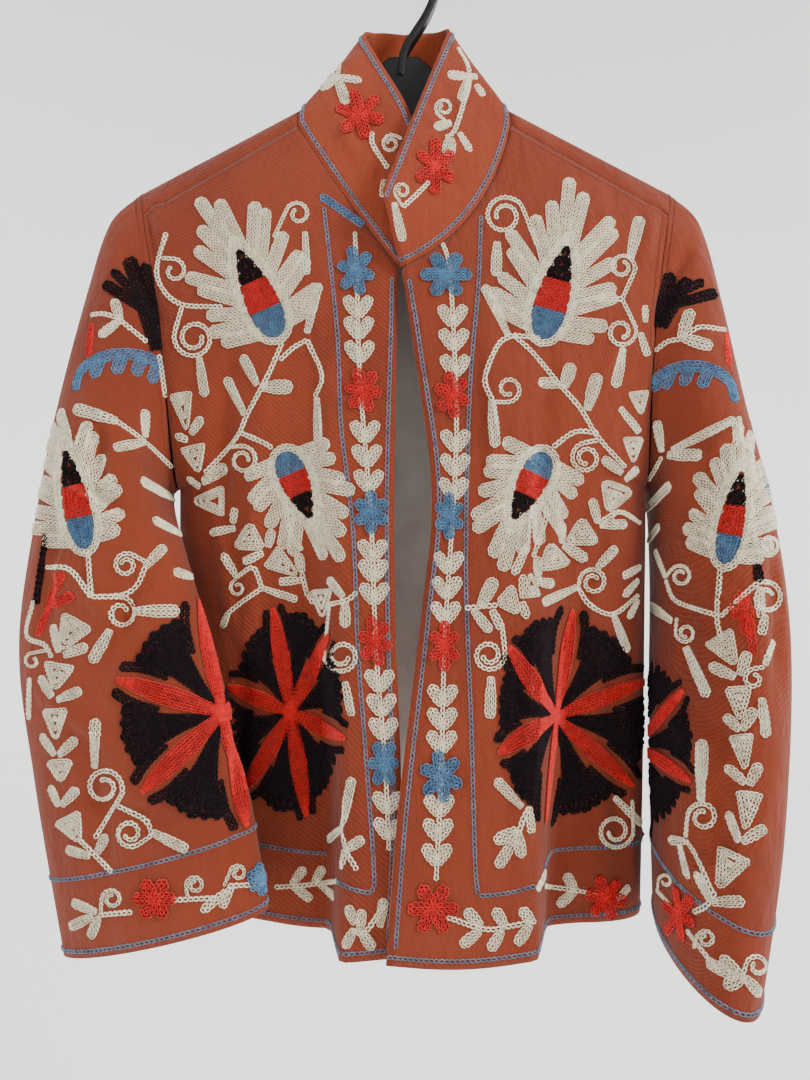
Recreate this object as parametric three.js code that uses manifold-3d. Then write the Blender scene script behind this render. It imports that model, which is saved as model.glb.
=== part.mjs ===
// Embroidered suzani jacket, hung on a plastic clothes hanger.
//
// Millimetres. +X is to the viewer's right when the jacket is seen from its front, +Y goes from the front to the
// back, +Z is up. The origin is the inside top of the hanger's hook, which rests on whatever holds the hanger.
// "left" and "right" are the viewer's own throughout.
import * as THREE from "three";
import { mergeVertices } from "three/addons/utils/BufferGeometryUtils.js";
import Module from "manifold-3d";

// ---------------------------------------------------------------- driving dimensions

const CLOTH = 1.8; // cotton twill with its embroidery, one wall
const COLLAR_CLOTH = 2.6; // two layers of twill turned and pressed
const LINING_CLOTH = 1.0;
const SEAM_GAP = 0.3;
const LAYER_GAP = 0.4; // between a panel and the layer behind it
const SLEEVE_GAP = 0.9; // a sleeve's cap from the armhole's faceted edge
const UNDERARM_EASE = 1.1; // how much further the sleeve stands off below the arm

const SEAM_ANGLE = 38; // the shoulder seam lies forward: degrees round the armhole from its top
const NECK_AT = 0.24; // share of a front's length where the neckline ends at the front edge
const ARMPIT_AT = 0.42; // share of a front's length where the armhole ends at the side seam
const BACK_ARMPIT_AT = 0.36;
const NECK_SHARE = 0.4; // share of the back's half width that the neck takes up
const SHOULDER_ROLL_AT = 0.16; // share of the back's length in which it rounds off the hanger
const BACK_ROLL = 2.4; // how squarely the back turns into the side seam

const NECK_POINT = { x: 82, y: 0, z: -141 }; // where the shoulder ridge meets the neckline
const SEAM_NECK = { x: 83, y: -20, z: -160 }; // where the forward shoulder seam meets it

const FRONT_COLUMNS = 18;
const FRONT_ROWS = 21;
const BACK_HALF_COLUMNS = 13;
const BACK_NECK_COLUMNS = 4;
const WRAP_ROWS = 3;
const BACK_ROWS = 20;
const SLEEVE_RINGS = 20;
const SLEEVE_POINTS = 28;
const COLLAR_COLUMNS = 36;
const COLLAR_ROWS = 4;
const COLLAR_BULGE = 3;
const COLLAR_RIDGE_AT = 0.42; // share of half the collar where it crosses the shoulder's ridge
const COLLAR_SEAM_AT = 0.5; // and where it meets the forward shoulder seam
const COLLAR_LIFT = 0.016; // share of its height by which it clears the neckline
const COLLAR_SEAM_LIFT = 0.014; // and a little more where it crosses the shoulder seam
const LINING_ROWS_DOWN = 2; // the back's own rows above the lining
const LINING_COLUMNS_IN = 3; // and its columns outside it, on each side

// Sleeves: each row is a closed ring, from the armhole down to the cuff. "out" is its outer end, "in" its inner
// end, deep half its depth, pull how far its front and back are drawn towards the body, tip how much lower its
// front edge hangs than its middle.
const RIGHT_SLEEVE = [
  { at: 0.0, outX: 210, outY: 0, outZ: -206, inX: 191, inY: 0, inZ: -440, deep: 38, pull: 11, tip: 0 },
  { at: 0.08, outX: 232, outY: -2, outZ: -230, inX: 193, inY: -2, inZ: -443, deep: 45, pull: 9, tip: 0 },
  { at: 0.18, outX: 246, outY: -5, outZ: -288, inX: 195, inY: -6, inZ: -450, deep: 53, pull: 4, tip: 2 },
  { at: 0.32, outX: 260, outY: -11, outZ: -372, inX: 196, inY: -14, inZ: -480, deep: 62, pull: 0, tip: 4 },
  { at: 0.46, outX: 275, outY: -20, outZ: -452, inX: 195, inY: -24, inZ: -530, deep: 69, pull: 0, tip: 6 },
  { at: 0.62, outX: 280, outY: -33, outZ: -545, inX: 191, inY: -38, inZ: -596, deep: 73, pull: 0, tip: 8 },
  { at: 0.8, outX: 269, outY: -46, outZ: -664, inX: 189, inY: -50, inZ: -690, deep: 73, pull: 0, tip: 10 },
  { at: 1.0, outX: 250, outY: -56, outZ: -788, inX: 188, inY: -55, inZ: -774, deep: 70, pull: 0, tip: 12 },
];
const LEFT_SLEEVE = [
  { at: 0.0, outX: 208, outY: 0, outZ: -206, inX: 178, inY: -4, inZ: -442, deep: 37, pull: 9, tip: 0 },
  { at: 0.08, outX: 231, outY: -2, outZ: -230, inX: 181, inY: -8, inZ: -445, deep: 43, pull: 8, tip: 0 },
  { at: 0.18, outX: 246, outY: -7, outZ: -286, inX: 182, inY: -19, inZ: -450, deep: 47, pull: 5, tip: 0 },
  { at: 0.32, outX: 260, outY: -16, outZ: -362, inX: 174, inY: -42, inZ: -466, deep: 44, pull: 0, tip: 0 },
  { at: 0.46, outX: 274, outY: -28, outZ: -450, inX: 158, inY: -60, inZ: -502, deep: 38, pull: 0, tip: 0 },
  { at: 0.62, outX: 286, outY: -40, outZ: -556, inX: 137, inY: -62, inZ: -566, deep: 34, pull: 0, tip: 0 },
  { at: 0.8, outX: 272, outY: -48, outZ: -656, inX: 115, inY: -68, inZ: -642, deep: 31, pull: 0, tip: 0 },
  { at: 1.0, outX: 249, outY: -52, outZ: -784, inX: 96, inY: -75, inZ: -742, deep: 26, pull: 0, tip: 0 },
];

// Soft folds pressed into a sleeve: where along it and round it (degrees, 270 is its front), their half lengths,
// how deep, and how much they slant (degrees of turn for the whole sleeve).
const RIGHT_SLEEVE_FOLDS = [
  { at: 0.3, round: 250, halfLong: 0.1, halfRound: 16, deep: 7, slant: 60 },
  { at: 0.5, round: 215, halfLong: 0.14, halfRound: 14, deep: 6, slant: 40 },
  { at: 0.56, round: 292, halfLong: 0.12, halfRound: 15, deep: 6, slant: -50 },
  { at: 0.78, round: 240, halfLong: 0.16, halfRound: 13, deep: 6, slant: 30 },
  { at: 0.6, round: 70, halfLong: 0.2, halfRound: 20, deep: 7, slant: 40 },
];
const LEFT_SLEEVE_FOLDS = [
  { at: 0.34, round: 262, halfLong: 0.1, halfRound: 14, deep: 7, slant: -70 },
  { at: 0.52, round: 300, halfLong: 0.12, halfRound: 13, deep: 6, slant: 50 },
  { at: 0.62, round: 245, halfLong: 0.14, halfRound: 12, deep: 5, slant: -40 },
  { at: 0.82, round: 285, halfLong: 0.14, halfRound: 12, deep: 5, slant: 20 },
  { at: 0.6, round: 100, halfLong: 0.2, halfRound: 18, deep: 5, slant: 30 },
];

// A front: the curve of its neckline (a middle point pulls it), the places of its front edge and side seam, and
// its depth across. The cloth comes forward from the front edge to a crest, steps back to a trough and then
// turns into the side seam; crest and trough are how far forward of the straight chord they are.
const RIGHT_FRONT = {
  neckPull: { x: 64, y: -40, z: -248 },
  edge: [
    { at: 0.24, x: -2, y: -52, z: -281 },
    { at: 0.33, x: 7, y: -57, z: -340 },
    { at: 0.48, x: 20, y: -65, z: -448 },
    { at: 0.62, x: 11, y: -72, z: -545 },
    { at: 0.8, x: -3, y: -83, z: -662 },
    { at: 1.0, x: -12, y: -91, z: -768 },
  ],
  side: [
    { at: 0.42, x: 191, y: 0, z: -440 },
    { at: 0.62, x: 190, y: 0, z: -545 },
    { at: 0.8, x: 190, y: 1, z: -660 },
    { at: 1.0, x: 189, y: 5, z: -776 },
  ],
  depth: [
    { at: 0.0, crestAt: 0.34, crest: 0, troughAt: 0.62, trough: 0, roll: 1.0 },
    { at: 0.12, crestAt: 0.34, crest: 4, troughAt: 0.62, trough: 5, roll: 1.2 },
    { at: 0.24, crestAt: 0.36, crest: 8, troughAt: 0.64, trough: 9, roll: 1.6 },
    { at: 0.42, crestAt: 0.4, crest: 24, troughAt: 0.62, trough: 25, roll: 2.2 },
    { at: 0.62, crestAt: 0.45, crest: 29, troughAt: 0.62, trough: 18, roll: 2.4 },
    { at: 0.8, crestAt: 0.5, crest: 36, troughAt: 0.62, trough: 4, roll: 2.4 },
    { at: 1.0, crestAt: 0.52, crest: 37, troughAt: 0.61, trough: -2, roll: 2.4 },
  ],
  hemDip: 12,
};
const LEFT_FRONT = {
  neckPull: { x: 46, y: -35, z: -223 },
  edge: [
    { at: 0.24, x: 4, y: -46, z: -278 },
    { at: 0.33, x: 5, y: -50, z: -335 },
    { at: 0.48, x: 7, y: -58, z: -445 },
    { at: 0.62, x: 6, y: -66, z: -545 },
    { at: 0.8, x: 2, y: -76, z: -662 },
    { at: 1.0, x: 6, y: -83, z: -768 },
  ],
  side: [
    { at: 0.42, x: 178, y: -4, z: -442 },
    { at: 0.62, x: 180, y: 2, z: -545 },
    { at: 0.8, x: 184, y: 2, z: -658 },
    { at: 1.0, x: 186, y: 5, z: -772 },
  ],
  depth: [
    { at: 0.0, crestAt: 0.28, crest: 0, troughAt: 0.5, trough: 0, roll: 1.0 },
    { at: 0.12, crestAt: 0.27, crest: 3, troughAt: 0.48, trough: 4, roll: 1.2 },
    { at: 0.24, crestAt: 0.26, crest: 5, troughAt: 0.46, trough: 6, roll: 1.5 },
    { at: 0.42, crestAt: 0.24, crest: 12, troughAt: 0.42, trough: 12, roll: 1.8 },
    { at: 0.62, crestAt: 0.22, crest: 14, troughAt: 0.36, trough: -3, roll: 1.9 },
    { at: 0.8, crestAt: 0.21, crest: 15, troughAt: 0.31, trough: -20, roll: 2.0 },
    { at: 1.0, crestAt: 0.21, crest: 15, troughAt: 0.29, trough: -30, roll: 2.2 },
  ],
  hemDip: 10,
};

// The middle of the back, from its neckline to its hem.
const BACK_CENTRE = [
  { at: 0.0, y: 38, z: -143 },
  { at: 0.15, y: 49, z: -236 },
  { at: 0.36, y: 60, z: -380 },
  { at: 0.65, y: 62, z: -560 },
  { at: 1.0, y: 58, z: -780 },
];
// Long soft folds in the back: where across it (-1 to 1), half width, depth at the hem, and where each starts.
const BACK_FOLDS = [
  { across: -0.62, half: 0.17, deep: 13, from: 0.3 },
  { across: -0.18, half: 0.2, deep: 9, from: 0.45 },
  { across: 0.27, half: 0.19, deep: 11, from: 0.38 },
  { across: 0.66, half: 0.16, deep: 12, from: 0.28 },
];
// The neckline across the back, from its middle round to where the forward shoulder seam meets it.
const BACK_NECK = [
  { at: 0.0, x: 0, y: 38, z: -143 },
  { at: 0.4, x: 44, y: 33, z: -142 },
  { at: 0.75, x: 74, y: 17, z: -141 },
  { at: 1.0, x: 82, y: 0, z: -141 },
];

// The collar's top edge, from the middle of the back round to its front corner.
const RIGHT_COLLAR_TOP = [
  { at: 0.0, x: 0, y: 28, z: -61 },
  { at: 0.2, x: 25, y: 21, z: -63 },
  { at: 0.38, x: 36, y: 0, z: -73 },
  { at: 0.5, x: 30, y: -16, z: -95 },
  { at: 0.75, x: 9, y: -39, z: -157 },
  { at: 1.0, x: -14, y: -63, z: -228 },
];
const LEFT_COLLAR_TOP = [
  { at: 0.0, x: 0, y: 28, z: -61 },
  { at: 0.2, x: 23, y: 21, z: -63 },
  { at: 0.38, x: 32, y: 2, z: -75 },
  { at: 0.5, x: 24, y: -10, z: -96 },
  { at: 0.75, x: -5, y: -28, z: -155 },
  { at: 1.0, x: -14, y: -38, z: -206 },
];

// Hanger
const HOOK_RADIUS = 22; // inside
const HOOK_WIDE = 13;
const HOOK_THICK = 6;
const HOOK_CORNER = 1.8; // cut off the bar's four edges
const HOOK_FROM = -20; // degrees round the hook's own centre, from the stem's side
const HOOK_TO = 205;
const STEM = [
  { x: -3, z: -112 },
  { x: 0, z: -93 },
  { x: 8, z: -79 },
  { x: 17, z: -65 },
  { x: 24, z: -49 },
];
const HANGER_THICK = 9;
const HANGER_BEVEL = 2;
const ARM_TALL = 24;
const ARM_END = 196;
const ARM_END_TALL = 16;
const ARM_CORNER = 6;
const PLATE_HALF = 30;
const PLATE_RISE = 6; // how far the plate rises above the arms' line, and drops below it
const PLATE_TOP = -97;
const ARM_REST = 1.9; // between the arm's edge and the cloth's crown, which rounds down on both sides of it

const TWILL = { color: 0xa94a26, roughness: 0.9, metalness: 0 };
const COLLAR_TWILL = { color: 0xb04f29, roughness: 0.9, metalness: 0 };
const LINING = { color: 0xd9d3cb, roughness: 0.85, metalness: 0 };
const FACING = { color: 0xd8562a, roughness: 0.85, metalness: 0 };
const PLASTIC = { color: 0x131417, roughness: 0.38, metalness: 0 };

// ---------------------------------------------------------------- reading the tables

const radians = THREE.MathUtils.degToRad;
const clamp = THREE.MathUtils.clamp;
const mix = THREE.MathUtils.lerp;

/** The value of one column of a table at a share of its length, on a smooth curve through the rows. */
function read(rows, column, at) {
  const last = rows.length - 1;
  let i = 0;
  while (i < last - 1 && at > rows[i + 1].at) i += 1;
  const slope = (k) => {
    const before = rows[Math.max(k - 1, 0)];
    const after = rows[Math.min(k + 1, last)];
    return (after[column] - before[column]) / (after.at - before.at);
  };
  const span = rows[i + 1].at - rows[i].at;
  const t = clamp((at - rows[i].at) / span, 0, 1);
  const start = rows[i][column];
  const end = rows[i + 1][column];
  const bend = t * t * (3 - 2 * t);
  const leave = t * (1 - t) * (1 - t) * span * slope(i);
  const arrive = t * t * (1 - t) * span * slope(i + 1);
  return mix(start, end, bend) + leave - arrive;
}

function readPoint(rows, at) {
  return new THREE.Vector3(read(rows, "x", at), read(rows, "y", at), read(rows, "z", at));
}

function vector({ x, y, z }) {
  return new THREE.Vector3(x, y, z);
}

/** A soft bump: 1 at the middle, 0 from half a width away. */
function hump(distance, half) {
  const t = clamp(Math.abs(distance) / half, 0, 1);
  return (1 - t * t) * (1 - t * t);
}

/** The section of cloth that turns a corner: 1 at t = 0, falling to 0 at t = 1, more squarely as power rises. */
function turn(t, power) {
  return Math.pow(Math.max(1 - Math.pow(clamp(t, 0, 1), power), 0), 1 / power);
}

// ---------------------------------------------------------------- sleeves

/** A point of a sleeve: 0 degrees is its outer end, 90 its back, 180 its inner end, 270 its front. */
function sleevePoint(rows, folds, at, degrees) {
  const outer = new THREE.Vector3(read(rows, "outX", at), read(rows, "outY", at), read(rows, "outZ", at));
  const inner = new THREE.Vector3(read(rows, "inX", at), read(rows, "inY", at), read(rows, "inZ", at));
  const middle = outer.clone().add(inner).multiplyScalar(0.5);
  const across = outer.clone().sub(inner).multiplyScalar(0.5);
  const away = new THREE.Vector3(0, 1, 0).projectOnPlane(across.clone().normalize()).normalize();
  const cos = Math.cos(radians(degrees));
  const sin = Math.sin(radians(degrees));
  let press = 0;
  for (const fold of folds) {
    const centre = fold.round + fold.slant * (at - fold.at);
    const apart = Math.abs(((degrees - centre + 540) % 360) - 180);
    press += fold.deep * hump(at - fold.at, fold.halfLong) * hump(apart, fold.halfRound);
  }
  const deep = read(rows, "deep", at);
  const point = middle.clone();
  point.addScaledVector(across, cos);
  point.addScaledVector(away, deep * sin);
  point.x -= read(rows, "pull", at) * sin * sin;
  point.z += read(rows, "tip", at) * sin;
  const inward = middle.sub(point);
  if (press > 0) point.addScaledVector(inward.normalize(), press);
  return point;
}

/** The armhole, where a sleeve is sewn in: 0 degrees is the shoulder's ridge, 180 the underarm. */
function armhole(sleeve, degrees) {
  return sleevePoint(sleeve, [], 0, degrees);
}

// ---------------------------------------------------------------- fronts

function neckline(front, t) {
  const start = vector(SEAM_NECK);
  const pull = vector(front.neckPull);
  const end = readPoint(front.edge, NECK_AT);
  return new THREE.QuadraticBezierCurve3(start, pull, end).getPoint(t);
}

/** A point of a front: across 0 is the neckline and front edge, 1 the armhole and side seam; down 0 is the
 * shoulder seam, 1 the hem. */
function frontPoint(front, sleeve, across, down) {
  const inner = down < NECK_AT ? neckline(front, down / NECK_AT) : readPoint(front.edge, down);
  const outer =
    down < ARMPIT_AT
      ? armhole(sleeve, -mix(SEAM_ANGLE, 180, down / ARMPIT_AT))
      : readPoint(front.side, down);
  const point = inner.clone().lerp(outer, across);
  const crestAt = read(front.depth, "crestAt", down);
  const troughAt = read(front.depth, "troughAt", down);
  const crest = mix(inner.y, outer.y, crestAt) - read(front.depth, "crest", down);
  const trough = mix(inner.y, outer.y, troughAt) - read(front.depth, "trough", down);
  if (across < crestAt) {
    const t = across / crestAt;
    point.y = mix(inner.y, crest, t * (2 - t) * (1 - 0.35 * t * (1 - t)));
    if (down < NECK_AT) point.y = mix(mix(inner.y, crest, t), point.y, down / NECK_AT);
  } else if (across < troughAt) {
    const t = (across - crestAt) / (troughAt - crestAt);
    const steep = clamp((down - NECK_AT) / (1 - NECK_AT), 0, 1);
    point.y = mix(crest, trough, mix(t, t * t * (3 - 2 * t), steep));
  } else {
    const t = (across - troughAt) / (1 - troughAt);
    point.y = outer.y + (trough - outer.y) * turn(t, read(front.depth, "roll", down));
  }
  point.z -= front.hemDip * Math.pow(down, 6) * hump(across - 0.25, 0.5);
  return point;
}

// ---------------------------------------------------------------- back

function backEdge(front, sleeve, down) {
  if (down < BACK_ARMPIT_AT) return armhole(sleeve, (180 * down) / BACK_ARMPIT_AT);
  const alongSide = (down - BACK_ARMPIT_AT) / (1 - BACK_ARMPIT_AT);
  return readPoint(front.side, mix(ARMPIT_AT, 1, alongSide));
}

function backTop(sleeve, across) {
  if (across <= NECK_SHARE) return readPoint(BACK_NECK, across / NECK_SHARE);
  const t = (across - NECK_SHARE) / (1 - NECK_SHARE);
  return vector(NECK_POINT).lerp(armhole(sleeve, 0), t);
}

/** A point of one half of the back, with x outwards: across 0 is its middle, 1 its armhole and side seam. */
function backPoint(front, sleeve, sign, across, down) {
  const centre = new THREE.Vector3(0, read(BACK_CENTRE, "y", down), read(BACK_CENTRE, "z", down));
  const edge = backEdge(front, sleeve, down);
  const point = centre.clone().lerp(edge, across);
  point.y = edge.y + (centre.y - edge.y) * turn(across, BACK_ROLL);
  const top = backTop(sleeve, across);
  const straight = backTop(sleeve, 0).lerp(armhole(sleeve, 0), across);
  const fade = Math.pow(1 - down, 4);
  point.x += (top.x - straight.x) * fade;
  point.z += (top.z - straight.z) * fade;
  const rolled = BACK_CENTRE[0].y * turn(across, BACK_ROLL);
  const t = clamp(1 - down / SHOULDER_ROLL_AT, 0, 1);
  point.y += (top.y - rolled) * (1 - Math.sqrt(1 - t * t));
  for (const fold of BACK_FOLDS) {
    const grow = clamp((down - fold.from) / (1 - fold.from), 0, 1);
    point.y -= fold.deep * grow * hump(sign * across - fold.across, fold.half);
  }
  return point;
}

/** The back's shoulder, wrapped forward over the ridge: round 0 is the ridge, 1 the forward seam. */
function wrapPoint(sleeve, across, round) {
  const t = (across - NECK_SHARE) / (1 - NECK_SHARE);
  const angle = radians(90 * round);
  const neck = new THREE.Vector3(
    mix(NECK_POINT.x, SEAM_NECK.x, round),
    mix(NECK_POINT.y, SEAM_NECK.y, Math.sin(angle)),
    mix(NECK_POINT.z, SEAM_NECK.z, 1 - Math.cos(angle)),
  );
  return neck.lerp(armhole(sleeve, -SEAM_ANGLE * round), t);
}

// ---------------------------------------------------------------- collar

/** A point of one half of the collar, with x outwards: along 0 is the middle of the back, 1 the front end. */
function collarPoint(front, top, along, up) {
  let foot;
  if (along < COLLAR_RIDGE_AT) foot = readPoint(BACK_NECK, along / COLLAR_RIDGE_AT);
  else if (along < COLLAR_SEAM_AT) {
    const round = (along - COLLAR_RIDGE_AT) / (COLLAR_SEAM_AT - COLLAR_RIDGE_AT);
    foot = wrapPoint(RIGHT_SLEEVE, NECK_SHARE, round);
  } else foot = neckline(front, (along - COLLAR_SEAM_AT) / (1 - COLLAR_SEAM_AT));
  const head = readPoint(top, along);
  const point = foot.clone().lerp(head, up);
  const outward = new THREE.Vector3(foot.x, foot.y, 0).normalize();
  const bulge = COLLAR_BULGE * 4 * up * (1 - up);
  return point.addScaledVector(outward, bulge * (1 - along));
}

// ---------------------------------------------------------------- cloth walls

/**
 * A wall of cloth from a net of points: rows of equal length, where a cell may be missing. The points are the
 * wall's outer face, and its inner face lies a thickness behind along the net's own normals. A point's fixed
 * normal, given where two pieces meet, is used instead.
 */
function wall(net, thickness, { closed = false, missing = () => false, fixed = () => null } = {}) {
  const rows = net.length;
  const columns = net[0].length;
  const next = (j) => (closed ? (j + 1) % columns : j + 1);
  const cells = [];
  for (let i = 0; i < rows - 1; i += 1) {
    for (let j = 0; j < (closed ? columns : columns - 1); j += 1) {
      if (!missing(i, j)) cells.push([[i, j], [i + 1, j], [i + 1, next(j)], [i, next(j)]]);
    }
  }
  const id = ([i, j]) => i * columns + j;
  const normals = new Map();
  for (const cell of cells) {
    const [a, b, c, d] = cell.map(([i, j]) => net[i][j]);
    const normal = new THREE.Vector3().crossVectors(c.clone().sub(a), d.clone().sub(b));
    for (const corner of cell) {
      if (!normals.has(id(corner))) normals.set(id(corner), new THREE.Vector3());
      normals.get(id(corner)).add(normal);
    }
  }
  const used = [...normals.keys()];
  const place = new Map(used.map((key, k) => [key, k]));
  const positions = [];
  const push = (p) => positions.push(p.x, p.y, p.z);
  const cornerOf = (key) => [Math.floor(key / columns), key % columns];
  for (const key of used) {
    const [i, j] = cornerOf(key);
    push(net[i][j]);
  }
  for (const key of used) {
    const [i, j] = cornerOf(key);
    const normal = fixed(i, j) ?? normals.get(key).normalize();
    push(net[i][j].clone().addScaledVector(normal, -thickness));
  }
  const index = [];
  const behind = used.length;
  const edges = new Map();
  for (const cell of cells) {
    const [a, b, c, d] = cell.map((corner) => place.get(id(corner)));
    index.push(a, b, c, a, c, d);
    index.push(a + behind, c + behind, b + behind, a + behind, d + behind, c + behind);
    for (const [p, q] of [[a, b], [b, c], [c, d], [d, a]]) {
      if (edges.has(q + "," + p)) edges.delete(q + "," + p);
      else edges.set(p + "," + q, [p, q]);
    }
  }
  for (const [p, q] of edges.values()) {
    index.push(p, p + behind, q + behind, p, q + behind, q);
  }
  const geometry = new THREE.BufferGeometry();
  geometry.setAttribute("position", new THREE.Float32BufferAttribute(positions, 3));
  geometry.setIndex(index);
  geometry.computeVertexNormals();
  return geometry;
}

/** The net moved behind its own face by a distance, along its normals. */
function layerBehind(net, distance) {
  return net.map((row, i) =>
    row.map((point, j) => {
      const up = net[Math.max(i - 1, 0)][j];
      const down = net[Math.min(i + 1, net.length - 1)][j];
      const before = row[Math.max(j - 1, 0)];
      const after = row[Math.min(j + 1, row.length - 1)];
      const normal = new THREE.Vector3().crossVectors(down.clone().sub(up), after.clone().sub(before));
      return point.clone().addScaledVector(normal.normalize(), -distance);
    }),
  );
}

/** Points in x outwards become points of the left or right half. */
function place(point, sign) {
  return new THREE.Vector3(point.x * sign, point.y, point.z);
}

/** A net seen from outside keeps its rows down and its columns to the right. */
function facing(net, sign) {
  return sign > 0 ? net : net.map((row) => [...row].reverse());
}

function spaced(count, power) {
  return Array.from({ length: count + 1 }, (_, j) => 1 - Math.pow(1 - j / count, power));
}

// ---------------------------------------------------------------- pieces

const SIDES = {
  left: {
    sign: -1,
    front: LEFT_FRONT,
    sleeve: LEFT_SLEEVE,
    folds: LEFT_SLEEVE_FOLDS,
    collarTop: LEFT_COLLAR_TOP,
    facingColumns: 3,
  },
  right: {
    sign: 1,
    front: RIGHT_FRONT,
    sleeve: RIGHT_SLEEVE,
    folds: RIGHT_SLEEVE_FOLDS,
    collarTop: RIGHT_COLLAR_TOP,
    facingColumns: 4,
  },
};

function shoulderNormal(sign) {
  return new THREE.Vector3(0.4 * sign, -0.62, 0.68).normalize();
}

function frontNet({ sign, front, sleeve }) {
  const inset = SEAM_GAP / 2;
  const columns = spaced(FRONT_COLUMNS, 1.25);
  return Array.from({ length: FRONT_ROWS + 1 }, (_, i) => {
    const down = i / FRONT_ROWS;
    const row = columns.map((across) => place(frontPoint(front, sleeve, across, down), sign));
    if (i === 0) row.forEach((point) => point.add(new THREE.Vector3(0, -inset, -inset)));
    if (down >= ARMPIT_AT) row[row.length - 1].y -= inset;
    return row;
  });
}

function frontPanel(side) {
  const net = facing(frontNet(side), side.sign);
  const seam = side.sign > 0 ? FRONT_COLUMNS : 0;
  return wall(net, CLOTH, {
    fixed: (i, j) => {
      if (i === 0) return shoulderNormal(side.sign);
      if (j === seam && i / FRONT_ROWS >= ARMPIT_AT) return new THREE.Vector3(side.sign, 0, 0);
      return null;
    },
  });
}

/** The share of the back's length at one of its rows, which crowd towards the shoulder. */
function backDown(row) {
  return Math.pow(row / BACK_ROWS, 1.3);
}

/** The back's net runs from one armhole to the other as seen from behind, with its wrapped shoulders on top. */
function backNet() {
  const inset = SEAM_GAP / 2;
  const neck = Array.from({ length: BACK_NECK_COLUMNS }, (_, j) => (NECK_SHARE * j) / BACK_NECK_COLUMNS);
  const rest = spaced(BACK_HALF_COLUMNS - BACK_NECK_COLUMNS, 1.25).map((t) => mix(NECK_SHARE, 1, t));
  const half = [...neck, ...rest];
  const columns = [
    ...half.map((across) => ({ across, side: SIDES.right })).reverse(),
    ...half.slice(1).map((across) => ({ across, side: SIDES.left })),
  ];
  const rows = [];
  for (let i = WRAP_ROWS; i > 0; i -= 1) {
    rows.push(
      columns.map(({ across, side }) => {
        const point = place(wrapPoint(side.sleeve, Math.max(across, NECK_SHARE), i / WRAP_ROWS), side.sign);
        if (i === WRAP_ROWS) point.add(new THREE.Vector3(0, inset, inset));
        return point;
      }),
    );
  }
  for (let i = 0; i <= BACK_ROWS; i += 1) {
    const down = backDown(i);
    rows.push(
      columns.map(({ across, side }) => {
        const point = place(backPoint(side.front, side.sleeve, side.sign, across, down), side.sign);
        if (across === 1 && down >= BACK_ARMPIT_AT) point.y += inset;
        return point;
      }),
    );
  }
  return rows;
}

function backPanel() {
  const net = backNet();
  const last = net[0].length - 1;
  const neckFrom = BACK_HALF_COLUMNS - BACK_NECK_COLUMNS;
  const neckTo = BACK_HALF_COLUMNS + BACK_NECK_COLUMNS;
  return wall(net, CLOTH, {
    missing: (i, j) => i < WRAP_ROWS && j >= neckFrom && j < neckTo,
    fixed: (i, j) => {
      if (i === 0) return shoulderNormal(j < BACK_HALF_COLUMNS ? 1 : -1);
      const down = backDown(Math.max(i - WRAP_ROWS, 0));
      if (i > WRAP_ROWS && down >= BACK_ARMPIT_AT && (j === 0 || j === last)) {
        return new THREE.Vector3(j === 0 ? 1 : -1, 0, 0);
      }
      return null;
    },
  });
}

function sleeveTube({ sign, sleeve, folds }) {
  const net = Array.from({ length: SLEEVE_RINGS + 1 }, (_, i) => {
    const at = Math.pow(i / SLEEVE_RINGS, 1.15);
    return Array.from({ length: SLEEVE_POINTS }, (_, j) => {
      const point = sleevePoint(sleeve, folds, at, (360 * j) / SLEEVE_POINTS);
      const lower = clamp(-Math.cos((2 * Math.PI * j) / SLEEVE_POINTS), 0, 1);
      point.x += (SLEEVE_GAP + UNDERARM_EASE * lower) * clamp(2 - at * 10, 0, 1);
      return place(point, sign);
    });
  });
  return wall(facing(net, -sign), CLOTH, { closed: true });
}

function collarBand() {
  const rows = [];
  for (let i = COLLAR_ROWS; i >= 0; i -= 1) {
    const row = [];
    for (let j = -COLLAR_COLUMNS / 2; j <= COLLAR_COLUMNS / 2; j += 1) {
      const side = j < 0 ? SIDES.left : SIDES.right;
      const along = Math.abs(j) / (COLLAR_COLUMNS / 2);
      const lowest = COLLAR_LIFT + COLLAR_SEAM_LIFT * hump(along - COLLAR_SEAM_AT + 0.04, 0.1);
      const up = mix(lowest, 1, i / COLLAR_ROWS);
      row.push(place(collarPoint(side.front, side.collarTop, along, up), side.sign));
    }
    rows.push(row.reverse());
  }
  return wall(rows, COLLAR_CLOTH);
}

function lining() {
  const net = backNet();
  const below = net.slice(WRAP_ROWS + LINING_ROWS_DOWN, -1);
  const inside = below.map((row) => row.slice(LINING_COLUMNS_IN, -LINING_COLUMNS_IN));
  return wall(layerBehind(inside, CLOTH + LAYER_GAP), LINING_CLOTH);
}

/** A strip behind the front edge, from the front's own points. */
function facingStrip(side) {
  const first = Math.ceil(NECK_AT * FRONT_ROWS) + 1;
  const strip = frontNet(side).slice(first, -1).map((row) => row.slice(0, side.facingColumns));
  return wall(layerBehind(facing(strip, side.sign), CLOTH + LAYER_GAP), LINING_CLOTH);
}

// ---------------------------------------------------------------- hanger

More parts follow.
